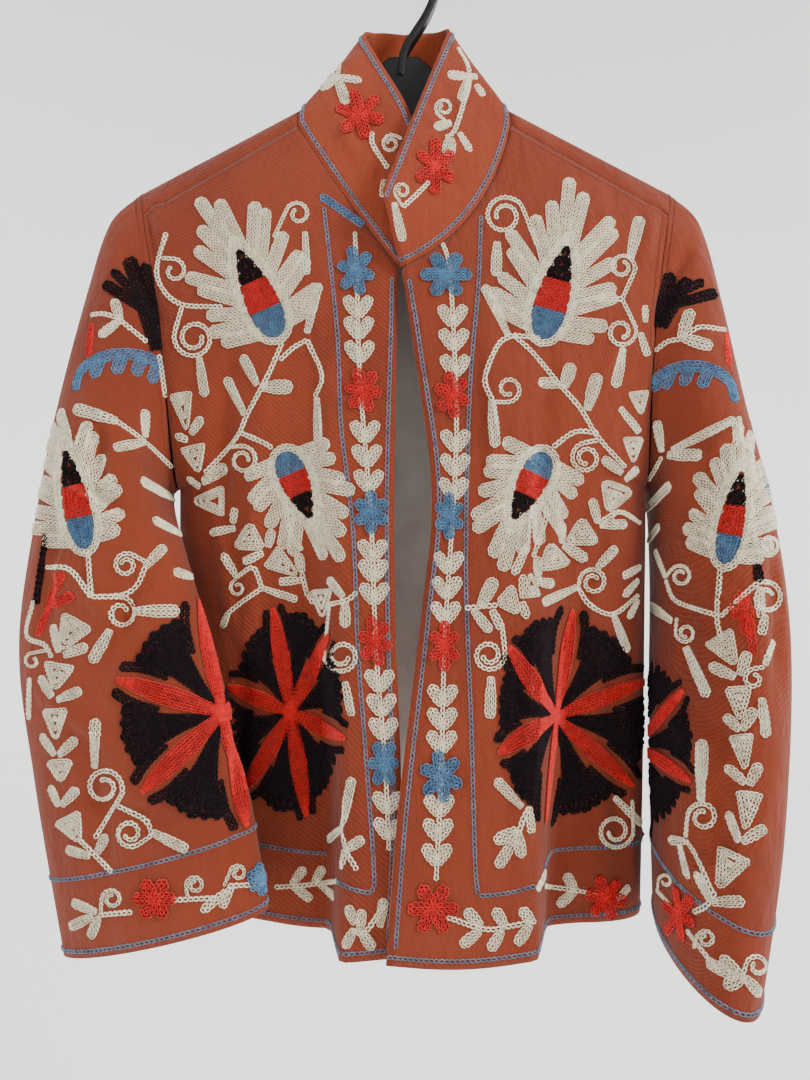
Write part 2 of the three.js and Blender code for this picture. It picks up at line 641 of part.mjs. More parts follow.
/** The flat body: a plate under the hook and two arms that follow the shoulders. */
function hangerBody() {
  const shoulder = armhole(RIGHT_SLEEVE, 0);
  const slope = (shoulder.z - NECK_POINT.z) / (shoulder.x - NECK_POINT.x);
  const below = (CLOTH + ARM_REST) * Math.hypot(1, slope);
  const topAt = (x) => NECK_POINT.z + slope * (x - NECK_POINT.x) - below;
  const shape = new THREE.Shape();
  const half = [
    [0, PLATE_TOP],
    [PLATE_HALF * 0.4, PLATE_TOP],
    [PLATE_HALF, topAt(PLATE_HALF) + PLATE_RISE],
    [PLATE_HALF * 1.6, topAt(PLATE_HALF * 1.6)],
    [ARM_END - ARM_CORNER, topAt(ARM_END - ARM_CORNER)],
    [ARM_END, topAt(ARM_END) - ARM_CORNER],
    [ARM_END, topAt(ARM_END) - ARM_END_TALL + ARM_CORNER],
    [ARM_END - ARM_CORNER, topAt(ARM_END) - ARM_END_TALL],
    [ARM_END / 2, topAt(ARM_END / 2) - ARM_TALL],
    [PLATE_HALF, topAt(PLATE_HALF) - ARM_TALL - PLATE_RISE],
    [0, topAt(PLATE_HALF) - ARM_TALL - PLATE_RISE],
  ];
  const corners = half.map(([x, z]) => new THREE.Vector2(x, z));
  const mirrored = half.slice(1, -1).reverse().map(([x, z]) => new THREE.Vector2(-x, z));
  shape.setFromPoints([...corners, ...mirrored]);
  const body = new THREE.ExtrudeGeometry(shape, {
    depth: HANGER_THICK - 2 * HANGER_BEVEL,
    bevelEnabled: true,
    bevelThickness: HANGER_BEVEL,
    bevelSize: HANGER_BEVEL,
    bevelOffset: -HANGER_BEVEL,
    bevelSegments: 2,
  });
  body.rotateX(Math.PI / 2);
  body.translate(0, HANGER_THICK / 2 - HANGER_BEVEL, 0);
  return body;
}

/** The stem and hook, one flat bar bent over the top. */
function hangerHook() {
  const radius = HOOK_RADIUS + HOOK_WIDE / 2;
  const points = STEM.map(({ x, z }) => new THREE.Vector3(x, 0, z));
  const steps = 14;
  for (let i = 0; i <= steps; i += 1) {
    const angle = radians(mix(HOOK_FROM, HOOK_TO, i / steps));
    points.push(new THREE.Vector3(radius * Math.cos(angle), 0, radius * Math.sin(angle) - HOOK_RADIUS));
  }
  const path = new THREE.CatmullRomCurve3(points, false, "centripetal");
  const half = HOOK_WIDE / 2;
  const flat = HOOK_THICK / 2;
  const section = new THREE.Shape();
  section.moveTo(-half + HOOK_CORNER, -flat);
  section.lineTo(half - HOOK_CORNER, -flat);
  section.lineTo(half, -flat + HOOK_CORNER);
  section.lineTo(half, flat - HOOK_CORNER);
  section.lineTo(half - HOOK_CORNER, flat);
  section.lineTo(-half + HOOK_CORNER, flat);
  section.lineTo(-half, flat - HOOK_CORNER);
  section.lineTo(-half, -flat + HOOK_CORNER);
  section.closePath();
  return new THREE.ExtrudeGeometry(section, { steps: 44, extrudePath: path });
}

/** Plate, arms, stem and hook are one moulding. */
async function hangerMoulding() {
  const wasm = await Module();
  wasm.setup();
  const solid = (geometry) => {
    geometry.deleteAttribute("normal");
    geometry.deleteAttribute("uv");
    const merged = mergeVertices(geometry, 1e-3);
    const vertProperties = merged.getAttribute("position").array;
    return new wasm.Manifold(new wasm.Mesh({ numProp: 3, vertProperties, triVerts: merged.index.array }));
  };
  const joined = solid(hangerBody()).add(solid(hangerHook())).getMesh();
  const geometry = new THREE.BufferGeometry();
  geometry.setAttribute("position", new THREE.BufferAttribute(joined.vertProperties, 3));
  geometry.setIndex(new THREE.BufferAttribute(joined.triVerts, 1));
  geometry.computeVertexNormals();
  return geometry;
}

// ---------------------------------------------------------------- assembly

function piece(name, geometry, finish) {
  const mesh = new THREE.Mesh(geometry, new THREE.MeshStandardMaterial({ ...finish, side: THREE.FrontSide }));
  mesh.name = name;
  return mesh;
}

const jacket = new THREE.Group();
jacket.name = "suzani_jacket";
jacket.add(piece("back", backPanel(), TWILL));
for (const [name, side] of Object.entries(SIDES)) {
  jacket.add(piece("front_" + name, frontPanel(side), TWILL));
  jacket.add(piece("sleeve_" + name, sleeveTube(side), TWILL));
  jacket.add(piece("facing_" + name, facingStrip(side), FACING));
}
jacket.add(piece("collar", collarBand(), COLLAR_TWILL));
jacket.add(piece("lining_back", lining(), LINING));

jacket.add(piece("hanger", await hangerMoulding(), PLASTIC));

export default jacket;
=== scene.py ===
"""An embroidered suzani jacket on a plastic hanger: its looks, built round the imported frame.

Sizes are in millimetres in the CAD's own frame and become metres when a mesh is made. The cloth panels repeat the
CAD's sections on a finer net, with creases pressed in. The embroidery is real thread: chain stitch after chain stitch,
laid on the cloth along paths that are drawn as the camera sees them.
"""

import math

import bpy
import numpy as np
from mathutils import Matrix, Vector
from mathutils.bvhtree import BVHTree


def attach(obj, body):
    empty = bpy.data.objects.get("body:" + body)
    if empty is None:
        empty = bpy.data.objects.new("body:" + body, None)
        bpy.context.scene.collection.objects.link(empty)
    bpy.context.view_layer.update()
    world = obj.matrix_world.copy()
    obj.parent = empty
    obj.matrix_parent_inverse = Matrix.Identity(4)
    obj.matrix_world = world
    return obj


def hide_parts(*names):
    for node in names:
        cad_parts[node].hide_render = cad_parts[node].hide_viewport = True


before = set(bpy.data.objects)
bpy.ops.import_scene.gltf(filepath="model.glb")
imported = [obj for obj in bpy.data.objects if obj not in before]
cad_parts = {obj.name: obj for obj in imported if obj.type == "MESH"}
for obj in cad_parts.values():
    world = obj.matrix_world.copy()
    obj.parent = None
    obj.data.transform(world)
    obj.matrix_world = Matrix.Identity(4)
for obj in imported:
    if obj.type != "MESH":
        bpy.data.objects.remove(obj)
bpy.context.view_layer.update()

MM = 0.001


def table(columns, *rows):
    """Rows of numbers, each as a dictionary by the names of the columns."""
    names = columns.split()
    return [dict(zip(names, row)) for row in rows]


# ---------------------------------------------------------------- the camera, and what its pixels mean

PHOTO_WIDE, PHOTO_HIGH = 810, 1080
CAMERA = Vector((0.8, -650.0, -481.6))  # level with the jacket's middle, looking along +Y
PIXEL = 0.8  # mm of the plane y = 0 that one pixel of the photo covers


def to_pixel(point):
    """Where the camera sees a point, in pixels of the photo."""
    near = -CAMERA.y / (point.y - CAMERA.y)
    return (
        PHOTO_WIDE / 2 + (point.x - CAMERA.x) * near / PIXEL,
        PHOTO_HIGH / 2 - (point.z - CAMERA.z) * near / PIXEL,
    )


def ray_through(x, y):
    """The direction from the camera through a pixel of the photo."""
    across, up = (x - PHOTO_WIDE / 2) * PIXEL, (PHOTO_HIGH / 2 - y) * PIXEL
    return Vector((across, -CAMERA.y, up)).normalized()


def make_camera():
    data = bpy.data.cameras.new("camera")
    data.sensor_width = 36.0
    data.lens = data.sensor_width * -CAMERA.y / (PHOTO_HIGH * PIXEL)
    data.clip_start, data.clip_end = 0.02, 20
    camera = bpy.data.objects.new("camera", data)
    camera.location = CAMERA * MM
    camera.rotation_euler = (math.radians(90), 0, 0)
    bpy.context.scene.collection.objects.link(camera)
    bpy.context.scene.camera = camera


# ---------------------------------------------------------------- the cloth's form, as in the CAD

CLOTH = 1.8
COLLAR_CLOTH = 2.6
LINING_CLOTH = 1.0
SEAM_GAP = 0.3
LAYER_GAP = 0.4
SLEEVE_GAP = 0.3
UNDERARM_EASE = 1.1
SEAM_ANGLE = 38
NECK_AT = 0.24
ARMPIT_AT = 0.42
BACK_ARMPIT_AT = 0.36
NECK_SHARE = 0.4
SHOULDER_ROLL_AT = 0.16
BACK_ROLL = 2.4
COLLAR_BULGE = 3
COLLAR_RIDGE_AT = 0.42
COLLAR_SEAM_AT = 0.5
COLLAR_LIFT = 0.004
COLLAR_SEAM_LIFT = 0.008
NECK_POINT = Vector((82, 0, -141))
SEAM_NECK = Vector((83, -20, -160))

SLEEVE_COLUMNS = "at outX outY outZ inX inY inZ deep pull tip"
RIGHT_SLEEVE = table(
    SLEEVE_COLUMNS,
    (0.0, 210, 0, -206, 191, 0, -440, 38, 11, 0),
    (0.08, 232, -2, -230, 193, -2, -443, 45, 9, 0),
    (0.18, 246, -5, -288, 195, -6, -450, 53, 4, 2),
    (0.32, 260, -11, -372, 196, -14, -480, 62, 0, 4),
    (0.46, 275, -20, -452, 195, -24, -530, 69, 0, 6),
    (0.62, 280, -33, -545, 191, -38, -596, 73, 0, 8),
    (0.8, 269, -46, -664, 189, -50, -690, 73, 0, 10),
    (1.0, 250, -56, -788, 188, -55, -774, 70, 0, 12),
)
LEFT_SLEEVE = table(
    SLEEVE_COLUMNS,
    (0.0, 208, 0, -206, 178, -4, -442, 37, 9, 0),
    (0.08, 231, -2, -230, 181, -8, -445, 43, 8, 0),
    (0.18, 246, -7, -286, 182, -19, -450, 47, 5, 0),
    (0.32, 260, -16, -362, 174, -42, -466, 44, 0, 0),
    (0.46, 274, -28, -450, 158, -60, -502, 38, 0, 0),
    (0.62, 286, -40, -556, 137, -62, -566, 34, 0, 0),
    (0.8, 272, -48, -656, 115, -68, -642, 31, 0, 0),
    (1.0, 249, -52, -784, 96, -75, -742, 26, 0, 0),
)
FOLD_COLUMNS = "at round halfLong halfRound deep slant"
RIGHT_SLEEVE_FOLDS = table(
    FOLD_COLUMNS,
    (0.3, 250, 0.1, 16, 7, 60),
    (0.5, 215, 0.14, 14, 6, 40),
    (0.56, 292, 0.12, 15, 6, -50),
    (0.78, 240, 0.16, 13, 6, 30),
    (0.6, 70, 0.2, 20, 7, 40),
)
LEFT_SLEEVE_FOLDS = table(
    FOLD_COLUMNS,
    (0.34, 262, 0.1, 14, 7, -70),
    (0.52, 300, 0.12, 13, 6, 50),
    (0.62, 245, 0.14, 12, 5, -40),
    (0.82, 285, 0.14, 12, 5, 20),
    (0.6, 100, 0.2, 18, 5, 30),
)
DEPTH_COLUMNS = "at crestAt crest troughAt trough roll"
RIGHT_FRONT = {
    "neckPull": Vector((64, -40, -248)),
    "edge": table(
        "at x y z",
        (0.24, -2, -52, -281),
        (0.33, 7, -57, -340),
        (0.48, 20, -65, -448),
        (0.62, 11, -72, -545),
        (0.8, -3, -83, -662),
        (1.0, -12, -91, -768),
    ),
    "side": table("at x y z", (0.42, 191, 0, -440), (0.62, 190, 0, -545), (0.8, 190, 1, -660), (1.0, 189, 5, -776)),
    "depth": table(
        DEPTH_COLUMNS,
        (0.0, 0.34, 0, 0.62, 0, 1.0),
        (0.12, 0.34, 4, 0.62, 5, 1.2),
        (0.24, 0.36, 8, 0.64, 9, 1.6),
        (0.42, 0.4, 24, 0.62, 25, 2.2),
        (0.62, 0.45, 29, 0.62, 18, 2.4),
        (0.8, 0.5, 36, 0.62, 4, 2.4),
        (1.0, 0.52, 37, 0.61, -2, 2.4),
    ),
    "hemDip": 12,
}
LEFT_FRONT = {
    "neckPull": Vector((46, -35, -223)),
    "edge": table(
        "at x y z",
        (0.24, 4, -46, -278),
        (0.33, 5, -50, -335),
        (0.48, 7, -58, -445),
        (0.62, 6, -66, -545),
        (0.8, 2, -76, -662),
        (1.0, 6, -83, -768),
    ),
    "side": table("at x y z", (0.42, 178, -4, -442), (0.62, 180, 2, -545), (0.8, 184, 2, -658), (1.0, 186, 5, -772)),
    "depth": table(
        DEPTH_COLUMNS,
        (0.0, 0.28, 0, 0.5, 0, 1.0),
        (0.12, 0.27, 3, 0.48, 4, 1.2),
        (0.24, 0.26, 5, 0.46, 6, 1.5),
        (0.42, 0.24, 12, 0.42, 12, 1.8),
        (0.62, 0.22, 14, 0.36, -3, 1.9),
        (0.8, 0.21, 15, 0.31, -20, 2.0),
        (1.0, 0.21, 15, 0.29, -30, 2.2),
    ),
    "hemDip": 10,
}
BACK_CENTRE = table("at y z", (0.0, 38, -143), (0.15, 49, -236), (0.36, 60, -380), (0.65, 62, -560), (1.0, 58, -780))
BACK_FOLDS = table(
    "across half deep from",
    (-0.62, 0.17, 13, 0.3),
    (-0.18, 0.2, 9, 0.45),
    (0.27, 0.19, 11, 0.38),
    (0.66, 0.16, 12, 0.28),
)
BACK_NECK = table("at x y z", (0.0, 0, 38, -143), (0.4, 44, 33, -142), (0.75, 74, 17, -141), (1.0, 82, 0, -141))
RIGHT_COLLAR_TOP = table(
    "at x y z",
    (0.0, 0, 28, -61),
    (0.2, 25, 21, -63),
    (0.38, 36, 0, -73),
    (0.5, 30, -16, -95),
    (0.75, 9, -39, -157),
    (1.0, -14, -63, -228),
)
LEFT_COLLAR_TOP = table(
    "at x y z",
    (0.0, 0, 28, -61),
    (0.2, 23, 21, -63),
    (0.38, 32, 2, -75),
    (0.5, 24, -10, -96),
    (0.75, -5, -28, -155),
    (1.0, -14, -38, -206),
)


def clamp(value, low=0.0, high=1.0):
    return max(low, min(high, value))


def mix(a, b, t):
    return a + (b - a) * t


def read(rows, column, at):
    """One column of a table at a share of its length, on a smooth curve through the rows."""
    last = len(rows) - 1
    i = 0
    while i < last - 1 and at > rows[i + 1]["at"]:
        i += 1

    def slope(k):
        before, after = rows[max(k - 1, 0)], rows[min(k + 1, last)]
        return (after[column] - before[column]) / (after["at"] - before["at"])

    span = rows[i + 1]["at"] - rows[i]["at"]
    t = clamp((at - rows[i]["at"]) / span)
    bend = t * t * (3 - 2 * t)
    leave = t * (1 - t) * (1 - t) * span * slope(i)
    arrive = t * t * (1 - t) * span * slope(i + 1)
    return mix(rows[i][column], rows[i + 1][column], bend) + leave - arrive


def read_point(rows, at):
    return Vector([read(rows, axis, at) for axis in "xyz"])


def hump(distance, half):
    """A soft bump: 1 at the middle, 0 from half a width away."""
    t = clamp(abs(distance) / half)
    return (1 - t * t) ** 2


def turn(t, power):
    """The section of cloth that turns a corner: 1 at t = 0, falling to 0 at t = 1."""
    return max(1 - clamp(t) ** power, 0) ** (1 / power)


def sleeve_point(rows, folds, at, degrees):
    """A point of a sleeve: 0 degrees is its outer end, 90 its back, 180 its inner end, 270 its front."""
    outer = Vector([read(rows, "out" + axis, at) for axis in "XYZ"])
    inner = Vector([read(rows, "in" + axis, at) for axis in "XYZ"])
    middle, across = (outer + inner) / 2, (outer - inner) / 2
    along = across.normalized()
    away = (Vector((0, 1, 0)) - along * along.y).normalized()
    cos, sin = math.cos(math.radians(degrees)), math.sin(math.radians(degrees))
    press = 0.0
    for fold in folds:
        centre = fold["round"] + fold["slant"] * (at - fold["at"])
        apart = abs((degrees - centre + 540) % 360 - 180)
        press += fold["deep"] * hump(at - fold["at"], fold["halfLong"]) * hump(apart, fold["halfRound"])
    point = middle + across * cos + away * (read(rows, "deep", at) * sin)
    point.x -= read(rows, "pull", at) * sin * sin
    point.z += read(rows, "tip", at) * sin
    return point + (middle - point).normalized() * press


def armhole(sleeve, degrees):
    """Where a sleeve is sewn in: 0 degrees is the shoulder's ridge, 180 the underarm."""
    return sleeve_point(sleeve, (), 0, degrees)


def neckline(front, t):
    end = read_point(front["edge"], NECK_AT)
    return SEAM_NECK * (1 - t) ** 2 + front["neckPull"] * (2 * t * (1 - t)) + end * t * t


def front_point(front, sleeve, across, down):
    """A point of a front: across 0 is the neckline and front edge, 1 the armhole and side seam; down 0 is the
    shoulder seam, 1 the hem."""
    inner = neckline(front, down / NECK_AT) if down < NECK_AT else read_point(front["edge"], down)
    if down < ARMPIT_AT:
        outer = armhole(sleeve, -mix(SEAM_ANGLE, 180, down / ARMPIT_AT))
    else:
        outer = read_point(front["side"], down)
    point = inner.lerp(outer, across)
    depth = front["depth"]
    crest_at, trough_at = read(depth, "crestAt", down), read(depth, "troughAt", down)
    crest = mix(inner.y, outer.y, crest_at) - read(depth, "crest", down)
    trough = mix(inner.y, outer.y, trough_at) - read(depth, "trough", down)
    if across < crest_at:
        t = across / crest_at
        point.y = mix(inner.y, crest, t * (2 - t) * (1 - 0.35 * t * (1 - t)))
        if down < NECK_AT:
            point.y = mix(mix(inner.y, crest, t), point.y, down / NECK_AT)
    elif across < trough_at:
        t = (across - crest_at) / (trough_at - crest_at)
        steep = clamp((down - NECK_AT) / (1 - NECK_AT))
        point.y = mix(crest, trough, mix(t, t * t * (3 - 2 * t), steep))
    else:
        t = (across - trough_at) / (1 - trough_at)
        point.y = outer.y + (trough - outer.y) * turn(t, read(depth, "roll", down))
    point.z -= front["hemDip"] * down**6 * hump(across - 0.25, 0.5)
    return point


def back_edge(front, sleeve, down):
    if down < BACK_ARMPIT_AT:
        return armhole(sleeve, 180 * down / BACK_ARMPIT_AT)
    along = (down - BACK_ARMPIT_AT) / (1 - BACK_ARMPIT_AT)
    return read_point(front["side"], mix(ARMPIT_AT, 1, along))


def back_top(sleeve, across):
    if across <= NECK_SHARE:
        return read_point(BACK_NECK, across / NECK_SHARE)
    return NECK_POINT.lerp(armhole(sleeve, 0), (across - NECK_SHARE) / (1 - NECK_SHARE))


def back_point(front, sleeve, sign, across, down):
    """A point of one half of the back, with x outwards: across 0 is its middle, 1 its armhole and side seam."""
    centre = Vector((0, read(BACK_CENTRE, "y", down), read(BACK_CENTRE, "z", down)))
    edge = back_edge(front, sleeve, down)
    point = centre.lerp(edge, across)
    point.y = edge.y + (centre.y - edge.y) * turn(across, BACK_ROLL)
    top = back_top(sleeve, across)
    straight = back_top(sleeve, 0).lerp(armhole(sleeve, 0), across)
    fade = (1 - down) ** 4
    point.x += (top.x - straight.x) * fade
    point.z += (top.z - straight.z) * fade
    rolled = BACK_CENTRE[0]["y"] * turn(across, BACK_ROLL)
    t = clamp(1 - down / SHOULDER_ROLL_AT)
    point.y += (top.y - rolled) * (1 - math.sqrt(1 - t * t))
    for fold in BACK_FOLDS:
        grow = clamp((down - fold["from"]) / (1 - fold["from"]))
        point.y -= fold["deep"] * grow * hump(sign * across - fold["across"], fold["half"])
    return point


def wrap_point(sleeve, across, around):
    """The back's shoulder, wrapped forward over the ridge: around 0 is the ridge, 1 the forward seam."""
    angle = math.radians(90 * around)
    neck = Vector(
        (
            mix(NECK_POINT.x, SEAM_NECK.x, around),
            mix(NECK_POINT.y, SEAM_NECK.y, math.sin(angle)),
            mix(NECK_POINT.z, SEAM_NECK.z, 1 - math.cos(angle)),
        )
    )
    return neck.lerp(armhole(sleeve, -SEAM_ANGLE * around), (across - NECK_SHARE) / (1 - NECK_SHARE))


def collar_point(front, top, along, up):
    """A point of one half of the collar, with x outwards: along 0 is the middle of the back, 1 the front end."""
    if along < COLLAR_RIDGE_AT:
        foot = read_point(BACK_NECK, along / COLLAR_RIDGE_AT)
    elif along < COLLAR_SEAM_AT:
        around = (along - COLLAR_RIDGE_AT) / (COLLAR_SEAM_AT - COLLAR_RIDGE_AT)
        foot = wrap_point(RIGHT_SLEEVE, NECK_SHARE, around)
    else:
        foot = neckline(front, (along - COLLAR_SEAM_AT) / (1 - COLLAR_SEAM_AT))
    outward = Vector((foot.x, foot.y, 0)).normalized()
    bulge = COLLAR_BULGE * 4 * up * (1 - up)
    return foot.lerp(read_point(top, along), up) + outward * (bulge * (1 - along))


SIDES = {
    "left": dict(
        sign=-1, front=LEFT_FRONT, sleeve=LEFT_SLEEVE, folds=LEFT_SLEEVE_FOLDS, collar=LEFT_COLLAR_TOP, facing=0.21
    ),
    "right": dict(
        sign=1, front=RIGHT_FRONT, sleeve=RIGHT_SLEEVE, folds=RIGHT_SLEEVE_FOLDS, collar=RIGHT_COLLAR_TOP, facing=0.27
    ),
}

# ---------------------------------------------------------------- creases
# Soft troughs and ridges as the photo shows them: a stroke from one pixel to another, how far it spreads to each
# side (mm) and how far it lifts the cloth (mm, below 0 a trough).

CREASE_COLUMNS = "x0 y0 x1 y1 half lift"
CREASES = table(
    CREASE_COLUMNS,
    # the left front
    (152, 196, 172, 262, 9, 2.2),
    (232, 330, 214, 560, 13, -2.6),
    (262, 360, 246, 690, 12, 2.2),
    (318, 230, 336, 520, 9, 1.8),
    (205, 450, 236, 640, 9, 1.8),
    (246, 640, 232, 880, 12, -2.4),
    (352, 560, 372, 900, 9, 1.6),
    # the right front
    (655, 205, 640, 275, 9, 2.2),
    (640, 300, 592, 396, 10, 1.8),
    (552, 340, 534, 590, 12, -2.4),
    (486, 280, 500, 560, 10, 2.0),
    (632, 470, 566, 640, 9, -1.8),
    (540, 600, 520, 880, 12, 2.2),
    (610, 640, 622, 900, 11, -2.2),
    (438, 430, 430, 760, 8, 1.4),
    # the left sleeve
    (118, 238, 166, 330, 9, -2.2),
    (122, 396, 58, 470, 9, 2.4),
    (60, 470, 132, 516, 8, -2.6),
    (36, 548, 120, 626, 9, 2.4),
    (160, 540, 92, 690, 10, -2.4),
    (34, 690, 112, 744, 9, 2.2),
    (58, 796, 176, 822, 10, -2.0),
    (150, 850, 226, 770, 9, 2.0),
    # the right sleeve
    (694, 236, 652, 330, 9, -2.2),
    (748, 418, 684, 474, 9, 2.4),
    (664, 500, 764, 556, 9, -2.4),
    (700, 592, 780, 622, 8, 2.4),
    (660, 690, 754, 764, 10, -2.4),
    (770, 700, 700, 800, 9, 2.0),
    (672, 880, 772, 842, 9, 2.2),
    # the collar
    (324, 96, 376, 186, 8, 1.2),
    (474, 84, 436, 204, 8, 1.2),
)
HIDDEN_CREASES = [
    dict(crease, x0=PHOTO_WIDE - crease["x0"] + 9, x1=PHOTO_WIDE - crease["x1"] - 6, y0=crease["y0"] + 14)
    for crease in CREASES
]
CREASE_LIFT = 2.0  # how far the table's lifts are scaled up


def press_creases(points, normals, creases, strength=1.0):
    """Moves points (mm) along their normals where a crease crosses them. It returns the moved points."""
    near = -CAMERA.y / (points[:, 1] - CAMERA.y)
    seen = np.stack(
        [
            PHOTO_WIDE / 2 + (points[:, 0] - CAMERA.x) * near / PIXEL,
            PHOTO_HIGH / 2 - (points[:, 2] - CAMERA.z) * near / PIXEL,
        ],
        axis=1,
    )
    lift = np.zeros(len(points))
    for crease in creases:
        start = np.array([crease["x0"], crease["y0"]], float)
        along = np.array([crease["x1"], crease["y1"]], float) - start
        length = np.hypot(*along)
        t = np.clip((seen - start) @ along / length**2, 0, 1)
        away = np.hypot(*(seen - start - t[:, None] * along).T) * PIXEL
        across = np.clip(1 - (away / crease["half"]) ** 2, 0, 1) ** 2
        lift += CREASE_LIFT * crease["lift"] * across * np.sin(np.pi * np.clip(t, 0, 1)) ** 0.7
    return points + normals * (lift * strength)[:, None]


# ---------------------------------------------------------------- nets of points
# A net is an array (rows, columns, 3): rows run down and columns to the right as seen from outside.

FRONT_ACROSS, FRONT_DOWN = 44, 136
BACK_HALF, BACK_NECK_ACROSS, BACK_DOWN, WRAP_DOWN = 38, 15, 116, 6
SLEEVE_RINGS, SLEEVE_ROUND = 92, 100
COLLAR_ALONG, COLLAR_UP = 120, 18


def spaced(count, power=1.25):
    return [1 - (1 - j / count) ** power for j in range(count + 1)]


def mirrored(point, sign):
    return (point.x * sign, point.y, point.z)


def front_net(side):
    sign, inset = side["sign"], SEAM_GAP / 2
    rows = []
    for i in range(FRONT_DOWN + 1):
        down = i / FRONT_DOWN
        row = [
            mirrored(front_point(side["front"], side["sleeve"], across, down), sign) for across in spaced(FRONT_ACROSS)
        ]
        rows.append(row if sign > 0 else row[::-1])
    net = np.array(rows)
    net[0, :, 1:] -= inset
    seam = -1 if sign > 0 else 0
    below = int(ARMPIT_AT * FRONT_DOWN) + 1
    net[below:, seam, 1] -= inset
    return net


def back_net():
    inset = SEAM_GAP / 2
    neck = [NECK_SHARE * j / BACK_NECK_ACROSS for j in range(BACK_NECK_ACROSS)]
    half = neck + [mix(NECK_SHARE, 1, t) for t in spaced(BACK_HALF - BACK_NECK_ACROSS)]
    columns = [(across, SIDES["right"]) for across in half[::-1]] + [(across, SIDES["left"]) for across in half[1:]]
    rows = []
    for i in range(WRAP_DOWN, 0, -1):
        rows.append(
            [
                mirrored(wrap_point(s["sleeve"], max(across, NECK_SHARE), i / WRAP_DOWN), s["sign"])
                for across, s in columns
            ]
        )
    for i in range(BACK_DOWN + 1):
        down = (i / BACK_DOWN) ** 1.3
        rows.append(
            [
                mirrored(back_point(s["front"], s["sleeve"], s["sign"], across, down), s["sign"])
                for across, s in columns
            ]
        )
        if down >= BACK_ARMPIT_AT:
            for edge in (0, -1):
                x, y, z = rows[-1][edge]
                rows[-1][edge] = (x, y + inset, z)
    net = np.array(rows)
    net[0, :, 1:] += inset
    return net


def sleeve_net(side):
    sign = side["sign"]
    rows = []
    for i in range(SLEEVE_RINGS + 1):
        at = (i / SLEEVE_RINGS) ** 1.15
        row = []
        for j in range(SLEEVE_ROUND):
            degrees = 360 * j / SLEEVE_ROUND
            point = sleeve_point(side["sleeve"], side["folds"], at, degrees)
            lower = max(-math.cos(math.radians(degrees)), 0)
            point.x += (SLEEVE_GAP + UNDERARM_EASE * lower) * clamp(2 - at * 10)
            row.append(mirrored(point, sign))
        rows.append(row if sign > 0 else row[::-1])
    return np.array(rows)


def collar_net():
    rows = []
    half = COLLAR_ALONG // 2
    for i in range(COLLAR_UP, -1, -1):
        row = []
        for j in range(half, -half - 1, -1):
            side = SIDES["left"] if j < 0 else SIDES["right"]
            along = abs(j) / half
            lowest = COLLAR_LIFT + COLLAR_SEAM_LIFT * hump(along - COLLAR_SEAM_AT + 0.04, 0.1)
            up = mix(lowest, 1, i / COLLAR_UP)
            row.append(mirrored(collar_point(side["front"], side["collar"], along, up), side["sign"]))
        rows.append(row)
    return np.array(rows)


def net_normals(net, closed=False, present=None):
    """Outward normals at a net's points, from the cells that are there."""
    right = np.roll(net, -1, axis=1)
    cells = slice(None) if closed else slice(0, -1)
    a, b = net[:-1, cells], net[1:, cells]
    c, d = right[1:, cells], right[:-1, cells]
    faces = np.cross(c - a, d - b)
    if present is not None:
        faces = faces * present[..., None]
    total = np.zeros_like(net)
    columns = faces.shape[1]
    for rows in (slice(0, -1), slice(1, None)):
        total[rows, :columns] += faces
        if closed:
            total[rows] += np.roll(faces, 1, axis=1)
        else:
            total[rows, 1:] += faces
    length = np.linalg.norm(total, axis=2, keepdims=True)
    return total / np.maximum(length, 1e-9)


def cloth_lengths(net, closed=False):
    """Each point's place on the cloth in mm: how far across its row and how far down its column."""
    across = np.zeros(net.shape[:2])
    across[:, 1:] = np.cumsum(np.linalg.norm(np.diff(net, axis=1), axis=2), axis=1)
    if not closed:
        across -= across[:, net.shape[1] // 2][:, None]
    down = np.zeros(net.shape[:2])
    down[1:] = np.cumsum(np.linalg.norm(np.diff(net, axis=0), axis=2), axis=0)
    return np.stack([across, down], axis=2)


